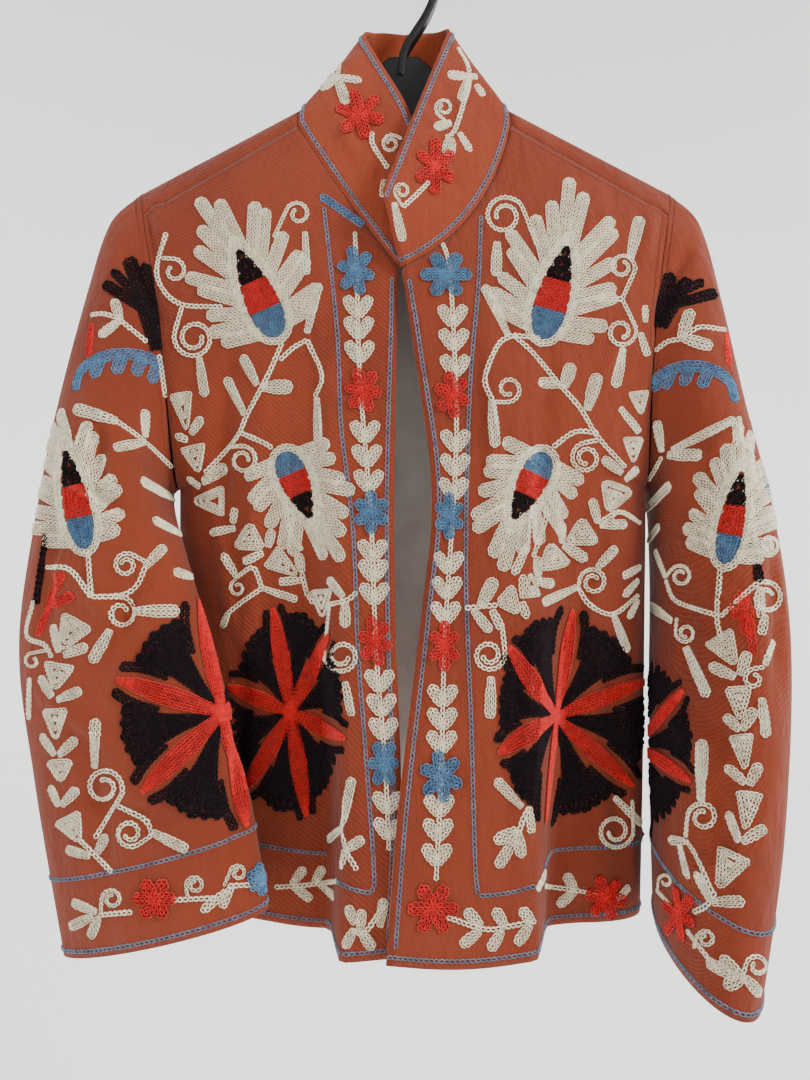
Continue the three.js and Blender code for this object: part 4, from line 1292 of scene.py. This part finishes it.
def bells(panel, *rows):
    """Rows of pointX, pointY, endX, endY, wide."""
    for x0, y0, x1, y1, wide in rows:
        fill(panel, "cream", shape_along((x0, y0), (x1, y1), bell(wide * 1.3), -0.04, 1.04, count=10), fine=0.84)


def flowers(panel, *rows):
    """Rows of yarn, x, y, reach across and down, and turn."""
    for yarn, x, y, across, down, turned in rows:
        for k in range(6):
            angle = math.radians(turned + 60 * k)
            tip = (x + across * math.cos(angle), y + down * math.sin(angle))
            finger(panel, yarn, [(x, y), tip], 11.5 * mix(across, down, 0.6) / down, root=0.6, lift=0.9)


def flames(tip, base, wide, count, long):
    """The flames of an almond: rootX, rootY, tipX, tipY, wide for each."""
    axis = np.array(base, float) - np.array(tip, float)
    full = np.hypot(*axis)
    unit = axis / full
    half = teardrop(wide)
    rows = []
    for hand in (-1, 1):
        side = np.array([-unit[1], unit[0]]) * hand
        for k in range(count):
            u = 0.04 + 0.86 * k / (count - 1)
            root = np.array(tip) + axis * u + side * (half(u) + 2)
            angle = math.radians(mix(4, 84, (k / (count - 1)) ** 0.8) + 7 * math.sin(2.4 * k + hand))
            aim = -unit * math.cos(angle) + side * math.sin(angle)
            end = root + aim * (long * mix(1.3, 0.85, k / (count - 1)) * (1 + 0.1 * math.sin(1.9 * k + 2 * hand)))
            rows.append((*root, *end, 12.5))
    return rows


PALMETTE_END = 0.86  # share of a rosette's reach where its palmettes' rows stop and their lobes go on
PALMETTE_ROW = 7.2  # pixels of a rosette's size for each row across a palmette
LOBE_ANGLES = (-14.5, -7.2, 0, 7.2, 14.5)  # degrees from a palmette's middle


def rosette(panel, x, y, across, down, turned, squeeze=1.0):
    """Six red spears from the middle, with a black palmette between each two: narrow at its root, lobed at its end
    and drawn out to a horn at either corner. Squeeze scales the reach of the left half."""

    def place(degrees, share):
        angle = math.radians(turned + degrees)
        reach = across * (squeeze if math.cos(angle) < 0 else 1)
        return (x + reach * share * math.cos(angle), y + down * share * math.sin(angle))

    size = mix(across, down, 0.5)
    for k in range(6):
        middle = 60 * k + 30
        rows = round(size / PALMETTE_ROW)
        for row in range(rows):
            side = (2 * row + 1) / rows - 1
            first = 0.1 if row in (0, rows - 1) else 0.07 + 0.6 * ((row + 0.5) * 0.618 % 1) ** 0.8
            steps = [mix(first, PALMETTE_END, j / 10) for j in range(11)]
            path = [place(middle + side * (6 + 12 * u**1.3), u) for u in steps]
            line(panel, "black", path, broad=1.2, fine=0.8)
        for horn in (-1, 1):
            path = [place(middle + turn * horn, share) for turn, share in ((14, 0.6), (19, PALMETTE_END), (24, 1.06))]
            finger(panel, "black", path, 0.085 * size, root=0.9)
        for turn in LOBE_ANGLES:
            path = [place(middle + turn * 0.94, 0.72), place(middle + turn, 0.985 - 0.0018 * abs(turn))]
            finger(panel, "black", path, 0.128 * size, root=0.9, lift=0.25)
    for k in range(6):
        blade(panel, "red", (x, y), place(60 * k, 1.04), spear(0.145 * down), lift=0.7, fine=0.88)


def spear(wide):
    """Narrow at its start, widest past the middle and pointed at its end."""
    return lambda u: wide / 2 * (0.3 * (1 - u) + max(math.sin(math.pi * u**1.15), 0) ** 0.75)


def palmette(panel, *rows):
    """Rows of rootX, rootY, tipX, tipY, wide: black lobes that bow away from their root."""
    for root_x, root_y, tip_x, tip_y, wide in rows:
        finger(panel, "black", [(root_x, root_y), (tip_x, tip_y)], wide, root=0.8)


def comb(panel, x, y, across, high, teeth, lean):
    """A blue arch over x, y with teeth that hang from it, at the shares of its span given."""

    def arch(share):
        angle = math.pi * (1 - share)
        return (x + across * math.cos(angle), y - high * math.sin(angle) ** 0.8 + lean * (share - 0.5))

    finger(panel, "blue", [arch(k / 8) for k in range(9)], 11, root=0.7)
    for share in teeth:
        root_x, root_y = arch(share)
        finger(panel, "blue", [(root_x + 1, root_y + 1), (root_x - 7, root_y + 20)], 11, root=0.9)


def vine(panel, stem, pairs, half=12.5):
    """Leaf pairs up a stem, at the heights given."""
    line(panel, "cream", stem, broad=1.2)
    ys = [y for _, y in stem]
    xs = [x for x, _ in stem]
    for y in pairs:
        x = float(np.interp(y, ys, xs))
        leaves(panel, (x - half, y - 20, x - 1, y, 10.5), (x + half, y - 20, x + 1, y, 10.5))


def inset_line(panel, yarn, edge, inset, start=0.0, stop=1.0):
    """A chain line so many mm inside an edge of a panel's net, from one share of the edge to another."""
    shell = shells[panel]
    net, normals = shell.outer, shell.normals
    if edge in ("first", "last"):
        net, normals = net.transpose(1, 0, 2), normals.transpose(1, 0, 2)
    if edge in ("bottom", "last"):
        net, normals = net[::-1], normals[::-1]
    columns = range(int(start * (net.shape[1] - 1)), int(stop * (net.shape[1] - 1)) + 1)
    run = []
    for j in columns:
        length = np.concatenate([[0], np.cumsum(np.linalg.norm(np.diff(net[:, j], axis=0), axis=1))])
        inner = inset(j / (net.shape[1] - 1)) if callable(inset) else inset
        pick = lambda values: Vector([float(np.interp(inner, length, values[:, j, k])) for k in range(3)])
        run.append((pick(net), pick(normals).normalized()))
    if shell.closed and edge in ("top", "bottom") and start == 0.0 and stop == 1.0:
        run.append(run[0])
    sew(panel, yarn, run)


ALMOND = (("black", 0.4), ("red", 0.7), ("blue", 1.0))


def almond(panel, tip, base, wide, count, long):
    feather(panel, tip, base, wide, ALMOND, flames(tip, base, wide, count, long))


# ---- the borders: chain lines that follow the edges

for hand, edge in (("left", "last"), ("right", "first")):
    panel = "front_" + hand
    inset_line(panel, "grey", edge, 5.5, NECK_AT + 0.01, 0.985)
    inset_line(panel, "grey", "bottom", 6, 0.0, 1.0)
    inner = (0.05, 0.77) if hand == "left" else (0.48, 0.97)
    inset_line(panel, "grey", "bottom", 58, *inner)
    inset_line("sleeve_" + hand, "grey", "bottom", 5)
    inset_line("sleeve_" + hand, "grey", "bottom", 57)
line("front_left", "grey", [(324, 208), (331, 270), (338, 345), (341, 425), (353, 530), (358, 652), (365, 745),
    (374, 870), (372, 892)])
line("front_left", "grey", [(370, 893), (352, 889), (334, 880)])
line("front_right", "grey", [(481, 216), (478, 290), (471, 370), (467, 470), (466, 590), (471, 720), (475, 860),
    (478, 894)])
line("front_right", "grey", [(480, 896), (508, 893), (535, 886)])
inset_line("back", "grey", "bottom", 6)
inset_line("back", "grey", "bottom", 58)
for hand, edge in (("left", "first"), ("right", "last")):
    inset_line("sleeve_" + hand, "seam", "top", 5)
    inset_line("front_" + hand, "seam", "top", 4)
    inset_line("front_" + hand, "seam", edge, 4, 0.02, ARMPIT_AT)
inset_line("collar", "grey", "top", 5)
inset_line("collar", "grey", "bottom", 5)

# ---- the collar

leaves("collar", (362, 81, 337, 77, 8), (320, 90, 337, 77, 12), (347, 105, 337, 77, 10), (323, 76, 337, 77, 9))
leaves("collar", (383, 198, 384, 180, 7), (447, 75, 469, 77, 10), (478, 77, 469, 77, 7), (461, 102, 469, 77, 10))
leaves("collar", (434, 128, 451, 123, 9), (471, 152, 459, 133, 8), (448, 157, 450, 138, 13), (403, 242, 394, 203, 9))
leaves("collar", (484, 97, 476, 85, 8))
stems("collar", [(343, 50), (338, 74)], [(372, 132), (373, 145), (388, 168)], [(458, 48), (469, 75), (456, 127),
    (446, 138)])
stems("collar", [(429, 182), (416, 195), (403, 207)])
curls("collar", (402, 139, 391, 144, 9, -1.3), (446, 122, 444, 108, 9, 1.3), (403, 207, 402, 191, 8, 1.2))
flowers("collar", ("red", 360, 115, 25, 25, 15), ("red", 435, 167, 21, 28, 30))

# ---- the front edges

vine(
    "front_left",
    [(355, 232), (357, 285), (360, 380), (371, 520), (376, 650), (385, 762), (389, 850)],
    (316, 337, 361, 441, 465, 490, 560, 580, 603, 690, 714, 738, 812, 838),
)
vine(
    "front_right",
    [(441, 238), (450, 275), (456, 395), (455, 475), (447, 597), (444, 649), (441, 776), (436, 880)],
    (325, 349, 375, 450, 474, 498, 572, 597, 622, 705, 728, 751, 815, 839, 864),
)
flowers(
    "front_left",
    ("blue", 356, 271, 19, 25, 15),
    ("red", 363, 390, 19, 23, 10),
    ("blue", 371, 512, 18, 22, 30),
    ("red", 375, 641, 18, 26, 15),
    ("blue", 384, 763, 17, 25, 0),
)
flowers(
    "front_right",
    ("blue", 446, 275, 26, 24, 0),
    ("red", 452, 395, 18, 24, 20),
    ("blue", 449, 516, 15, 24, 30),
    ("red", 444, 646, 16, 26, 30),
    ("blue", 441, 776, 22, 27, 20),
    ("red", 433, 908, 26, 27, 0),
    ("red", 605, 897, 21, 23, 10),
)
finger("front_left", "blue", [(363, 225), (320, 195)], 8, root=0.9)

# ---- the left front

almond("front_left", (237, 247), (278, 337), 33, 8, 46)
almond("front_left", (312, 521), (283, 452), 29, 7, 37)
rosette("front_left", 291, 712, 54, 104, -106, 1.15)
bells("front_left", (187, 431, 180, 391, 19), (199, 473, 192, 444, 22), (193, 501, 226, 501, 27),
    (250, 523, 249, 549, 27))
bells("front_left", (298, 575, 269, 555, 22), (323, 618, 321, 588, 20))
curls("front_left", (274, 237, 298, 214, 12, 1.1), (162, 258, 174, 271, 12, 0.9), (182, 307, 194, 338, 20, -1.6))
curls("front_left", (228, 447, 243, 460, 14, 1.3), (237, 578, 238, 588, 8, -1.0), (330, 602, 342, 656, 17, -1.5))
stems("front_left", [(166, 233), (157, 275), (178, 303), (222, 307)], [(282, 343), (268, 375), (248, 413),
    (235, 440), (205, 473)])
stems("front_left", [(307, 340), (293, 348), (280, 360)], [(307, 340), (322, 375), (315, 397)], [(241, 433),
    (262, 442), (272, 448)])
stems("front_left", [(302, 573), (307, 593), (313, 603)], [(357, 592), (347, 600), (327, 605)], [(237, 577),
    (253, 568), (262, 588)])
stems("front_left", [(262, 588), (242, 602), (228, 613)], [(285, 502), (290, 533), (302, 550)], [(275, 887),
    (305, 885), (337, 881)])
stems("front_left", [(342, 828), (346, 850), (357, 870)], [(384, 905), (365, 932), (352, 930)])
leaves("front_left", (307, 275, 305, 232, 7), (319, 283, 307, 333, 9), (319, 445, 317, 398, 9),
    (242, 355, 257, 385, 9))
leaves("front_left", (293, 387, 262, 387, 13), (226, 377, 245, 415, 9), (205, 397, 199, 357, 9),
    (202, 417, 191, 434, 9))
leaves("front_left", (175, 435, 187, 440, 8), (227, 466, 203, 482, 12), (187, 477, 200, 487, 8),
    (235, 507, 233, 523, 8))
leaves("front_left", (210, 533, 235, 528, 8), (272, 529, 268, 547, 9), (243, 562, 263, 553, 8),
    (298, 553, 302, 572, 9))
leaves("front_left", (278, 582, 302, 580, 8), (328, 578, 343, 597, 9), (345, 628, 345, 602, 10),
    (222, 553, 237, 577, 8))
leaves("front_left", (298, 600, 262, 588, 7), (222, 628, 228, 613, 7), (352, 717, 345, 682, 8),
    (352, 777, 342, 828, 9))
leaves("front_left", (328, 840, 342, 828, 8), (364, 838, 345, 850, 9), (341, 868, 345, 850, 8),
    (305, 867, 292, 884, 9))
leaves("front_left", (312, 900, 293, 886, 9), (324, 866, 314, 883, 9), (334, 896, 320, 884, 9),
    (347, 905, 355, 924, 9))
leaves("front_left", (344, 948, 354, 929, 9), (374, 950, 361, 932, 10), (362, 909, 360, 930, 9),
    (384, 898, 380, 927, 9))

# ---- the right front

almond("front_right", (568, 243), (541, 339), 33, 8, 48)
almond("front_right", (512, 522), (546, 453), 29, 7, 37)
rosette("front_right", 555, 716, 97, 104, -80, 0.6)
bells("front_right", (641, 415, 638, 390, 18), (633, 463, 633, 436, 18), (608, 512, 618, 485, 29),
    (582, 518, 582, 544, 29))
bells("front_right", (550, 543, 555, 568, 28), (497, 603, 517, 599, 28), (530, 572, 533, 598, 14))
curls("front_right", (537, 245, 504, 216, 20, -1.5), (493, 402, 508, 389, 13, -1.1), (622, 299, 622, 267, 13, -1.3))
curls("front_right", (622, 299, 621, 332, 15, 1.3), (598, 440, 586, 458, 15, -1.5), (578, 590, 593, 582, 14, 1.4))
curls("front_right", (502, 625, 489, 655, 16, 1.5), (632, 800, 615, 831, 18, 1.5), (640, 523, 618, 520, 8, -0.6))
stems("front_right", [(513, 335), (533, 353), (558, 383), (580, 408), (598, 437), (625, 467)], [(513, 335),
    (498, 345), (485, 378), (492, 400)])
stems("front_right", [(598, 300), (622, 299)], [(598, 433), (575, 432), (553, 447)], [(543, 503), (546, 517),
    (533, 557)])
stems("front_right", [(465, 608), (477, 607), (497, 605)], [(578, 588), (590, 605), (613, 614), (638, 595)],
    [(598, 523), (620, 512), (640, 523)])
stems("front_right", [(529, 807), (522, 822), (516, 845)], [(447, 917), (485, 929), (510, 926), (535, 921)],
    [(545, 886), (575, 890), (597, 895)])
stems("front_right", [(540, 338), (520, 336), (513, 335)])
leaves("front_right", (496, 277, 497, 242, 10), (484, 285, 508, 335, 9), (495, 448, 492, 400, 10),
    (538, 382, 560, 385, 10))
leaves("front_right", (572, 363, 564, 387, 12), (598, 373, 587, 410, 12), (640, 217, 630, 258, 12),
    (615, 388, 623, 348, 11))
leaves("front_right", (648, 357, 640, 333, 8), (645, 305, 645, 322, 7), (640, 433, 620, 408, 8),
    (602, 458, 622, 473, 9))
leaves("front_right", (638, 468, 625, 480, 9), (592, 498, 598, 523, 9), (627, 524, 600, 525, 9),
    (561, 521, 562, 543, 9))
leaves("front_right", (587, 560, 563, 545, 10), (537, 556, 538, 580, 9), (554, 584, 537, 582, 9),
    (523, 574, 523, 598, 8))
leaves("front_right", (527, 619, 522, 602, 8), (495, 578, 480, 607, 12), (491, 632, 473, 610, 9),
    (502, 630, 492, 610, 8))
leaves("front_right", (513, 575, 528, 545, 8), (617, 547, 597, 568, 9), (542, 603, 577, 587, 9),
    (628, 652, 613, 614, 9))
leaves("front_right", (622, 577, 640, 567, 8), (623, 597, 638, 580, 8), (628, 619, 638, 600, 8),
    (490, 719, 491, 677, 10))
leaves("front_right", (495, 779, 522, 807, 9), (532, 834, 529, 807, 8), (494, 842, 517, 830, 11),
    (497, 868, 514, 840, 10))
leaves("front_right", (522, 858, 517, 830, 10), (650, 832, 614, 797, 8), (545, 873, 537, 890, 9),
    (565, 873, 575, 890, 10))
leaves("front_right", (557, 906, 575, 891, 10), (465, 909, 481, 926, 10), (460, 946, 480, 931, 10),
    (494, 908, 505, 926, 10))
leaves("front_right", (489, 951, 502, 931, 10), (520, 908, 532, 921, 10), (516, 945, 530, 925, 10),
    (630, 885, 617, 900, 8))

# ---- the left sleeve

palmette("sleeve_left", (158, 350, 129, 257, 16), (160, 348, 144, 263, 13), (142, 308, 104, 283, 11),
    (138, 296, 112, 270, 9))
comb("sleeve_left", 122, 388, 46, 34, (0.34, 0.5, 0.64, 0.78), -4)
almond("sleeve_left", (65, 446), (86, 549), 26, 8, 34)
rosette("sleeve_left", 222, 713, 106, 112, -103)
bells("sleeve_left", (61, 650, 79, 618, 29), (55, 690, 60, 662, 27), (56, 740, 55, 707, 22), (61, 782, 60, 760, 23))
bells("sleeve_left", (80, 842, 66, 815, 25))
curls("sleeve_left", (146, 562, 126, 565, 12, -1.3), (92, 597, 121, 613, 16, 1.2), (95, 838, 104, 787, 19, -1.4))
curls("sleeve_left", (152, 835, 130, 833, 14, 1.3), (101, 912, 112, 899, 10, 1.3), (188, 899, 195, 885, 9, 1.3))
curls("sleeve_left", (224, 886, 238, 873, 8, 1.2), (48, 650, 33, 661, 8, -0.9))
stems("sleeve_left", [(91, 315), (104, 314), (120, 319)], [(120, 320), (147, 342)], [(159, 355), (170, 422),
    (190, 505), (202, 577), (210, 600)])
stems("sleeve_left", [(117, 421), (145, 442), (182, 477)], [(88, 552), (91, 597)], [(145, 567), (137, 585),
    (122, 595), (92, 597)])
stems("sleeve_left", [(80, 840), (97, 857), (112, 872)], [(118, 806), (145, 820), (152, 834)], [(46, 567),
    (70, 570), (91, 597)])
stems("sleeve_left", [(34, 600), (27, 635), (45, 645), (52, 657)], [(99, 915), (132, 912)], [(172, 900),
    (215, 898)], [(228, 886), (262, 884)])
leaves("sleeve_left", (114, 299, 120, 320, 9), (99, 337, 120, 320, 9), (74, 408, 117, 421, 11),
    (145, 409, 145, 437, 10))
leaves("sleeve_left", (113, 448, 145, 442, 9), (140, 480, 187, 507, 11), (152, 519, 195, 542, 10),
    (173, 571, 205, 581, 9))
leaves("sleeve_left", (165, 546, 145, 567, 9), (91, 663, 110, 630, 10), (180, 611, 137, 611, 11),
    (29, 720, 30, 678, 7))
leaves("sleeve_left", (53, 624, 59, 652, 9), (88, 646, 64, 655, 9), (40, 676, 52, 697, 9), (82, 690, 57, 700, 9))
leaves("sleeve_left", (41, 734, 55, 755, 9), (77, 738, 59, 755, 9), (50, 785, 59, 806, 9), (78, 788, 62, 805, 9))
leaves("sleeve_left", (66, 849, 90, 856, 9), (107, 834, 97, 853, 9), (95, 718, 95, 768, 10), (188, 850, 152, 832, 9))
leaves("sleeve_left", (72, 902, 97, 912, 9), (70, 927, 93, 916, 9), (90, 938, 99, 917, 9), (201, 912, 226, 891, 8))
leaves("sleeve_left", (221, 909, 231, 887, 8))
leaves("sleeve_left", (62, 571, 48, 612, 12), (74, 594, 46, 608, 9), (38, 636, 50, 605, 8),
    (88, 357, 92, 324, 7), yarn="red")
leaves("sleeve_left", (36, 605, 46, 534, 7), yarn="black")
flowers("sleeve_left", ("red", 155, 898, 22, 22, 0), ("blue", 260, 879, 14, 17, 20))

# ---- the right sleeve

palmette("sleeve_right", (660, 327, 671, 272, 14), (661, 327, 688, 277, 15), (674, 304, 716, 293, 11),
    (672, 296, 704, 281, 9))
comb("sleeve_right", 692, 402, 43, 36, (0.2, 0.34, 0.48, 0.62), 2)
almond("sleeve_right", (742, 468), (724, 564), 25, 8, 34)
rosette("sleeve_right", 638, 745, 56, 88, -37)
bells("sleeve_right", (736, 665, 717, 634, 27), (740, 720, 738, 685, 23), (745, 770, 741, 733, 20),
    (745, 830, 750, 790, 22))
bells("sleeve_right", (718, 889, 736, 851, 30))
curls("sleeve_right", (666, 577, 681, 576, 11, 1.3), (720, 617, 766, 598, 17, 1.3), (686, 837, 703, 817, 15, 1.3))
curls("sleeve_right", (677, 618, 686, 633, 10, -1.3), (752, 500, 768, 545, 12, -1.2), (658, 892, 666, 881, 7, 1.0))
curls("sleeve_right", (694, 948, 706, 939, 9, 1.2), (742, 978, 757, 966, 11, 1.1), (764, 667, 754, 679, 10, -1.0))
stems("sleeve_right", [(655, 351), (667, 342), (680, 339)], [(687, 335), (700, 327), (725, 330)], [(662, 457),
    (652, 475), (641, 490)])
stems("sleeve_right", [(739, 417), (742, 440), (752, 455), (752, 480), (747, 492)], [(666, 580), (675, 600),
    (700, 610), (717, 615)])
stems("sleeve_right", [(720, 570), (717, 615), (720, 635)], [(715, 892), (707, 905), (694, 912)], [(686, 840),
    (697, 857), (712, 892)])
stems("sleeve_right", [(657, 890), (675, 910)], [(687, 930), (702, 950), (720, 972)])
leaves("sleeve_right", (691, 309, 681, 337, 11), (713, 347, 681, 337, 11), (657, 420, 662, 452, 10),
    (702, 455, 668, 455, 11))
leaves("sleeve_right", (736, 419, 672, 450, 9), (671, 484, 644, 512, 10), (660, 525, 644, 547, 8),
    (760, 618, 760, 587, 9))
leaves("sleeve_right", (655, 550, 666, 577, 8), (651, 606, 672, 621, 10), (761, 636, 765, 615, 8),
    (709, 665, 735, 677, 10))
leaves("sleeve_right", (748, 651, 740, 675, 9), (724, 715, 740, 730, 9), (755, 708, 742, 730, 9),
    (725, 765, 745, 783, 9))
leaves("sleeve_right", (760, 763, 749, 785, 9), (728, 811, 739, 842, 9), (766, 827, 742, 842, 9),
    (696, 871, 710, 900, 9))
leaves("sleeve_right", (745, 901, 712, 902, 9), (773, 640, 765, 665, 7), (766, 738, 762, 698, 9),
    (708, 697, 686, 647, 11))
leaves("sleeve_right", (702, 739, 701, 801, 12), (669, 840, 685, 841, 8), (688, 879, 680, 845, 8),
    (720, 956, 740, 975, 10))
leaves("sleeve_right", (706, 961, 735, 977, 10), (724, 987, 745, 977, 10), (760, 994, 745, 977, 9))
leaves("sleeve_right", (735, 619, 744, 592, 14), (748, 636, 744, 594, 12), (754, 655, 748, 612, 7),
    (729, 367, 726, 332, 8), yarn="red")
leaves("sleeve_right", (760, 583, 757, 564, 9), yarn="black")
leaves("sleeve_right", (771, 502, 761, 468, 13), yarn="blue")
flowers("sleeve_right", ("red", 680, 914, 17, 28, 20))

# ---- the thread


def yarn_material(name):
    """Crewel wool: each stitch's own colour, darkened at the foot of each loop by painted shade, with fine fibres along
    it and a soft nap.
    """
    r = Recipe("yarn_" + name)
    tint = r.add("VertexColor", layer_name="yarn").outputs["Color"]
    place = r.add("TexCoord").outputs["Object"]
    fibre = r.noise(place, 1500, 3, 0.6)
    uneven = r.noise(place, 260, 2)
    shade = r.add(
        "MapRange", {"Value": uneven, "From Min": 0.3, "From Max": 0.7, "To Min": 0.84, "To Max": 1.08}
    ).outputs["Result"]
    colour = r.add("VectorMath", {0: tint}, operation="SCALE")
    r.feed(colour.inputs["Scale"], shade)
    rough = r.add("MapRange", {"Value": fibre, "To Min": 0.66, "To Max": 0.9}).outputs["Result"]
    sheen = 0.02 if name == "black" else 0.1
    r.set(Base_Color=colour.outputs["Vector"], Roughness=rough, Normal=r.bump(fibre, 0.5, 0.0005), Sheen_Weight=sheen)
    r.shader.inputs["Specular IOR Level"].default_value = 0.12 if name == "black" else 0.3
    return r.material


yarn_finish = {yarn: yarn_material(yarn) for yarn in YARNS}
stitch_pieces = {}
total = 0
for seed, ((panel, yarn), stitches) in enumerate(sorted(sewn.items())):
    name = "stitches_%s_%s" % (panel, yarn)
    piece = add_object(name, stitches.mesh(name, YARNS[yarn], 100 + seed), yarn_finish[yarn])
    stitch_pieces.setdefault(panel, []).append(piece)
    total += len(stitches.frames)
    print(name, len(stitches.frames), "stitches", len(stitches.frames) * 2 * 3 * STITCH_SIDES, "triangles")
print("stitches in all:", total, "triangles:", total * 2 * 3 * STITCH_SIDES)

# ---------------------------------------------------------------- the cut of each piece

# The cut of each piece as far as it shows: width and length in metres, and its flat area in square metres.
CUT = {
    "back": (0.48, 0.7, 0.27),
    "front_left": (0.25, 0.65, 0.116),
    "front_right": (0.26, 0.66, 0.121),
    "sleeve_left": (0.53, 0.6, 0.16),
    "sleeve_right": (0.53, 0.61, 0.167),
    "collar": (0.56, 0.09, 0.036),
    "lining_back": (0.32, 0.58, 0.16),
    "facing_left": (0.022, 0.44, 0.0086),
    "facing_right": (0.034, 0.44, 0.0131),
}
for node, piece in cloth_pieces.items():
    wide, long, area = CUT[node]

make_camera()
make_studio()
make_lights()
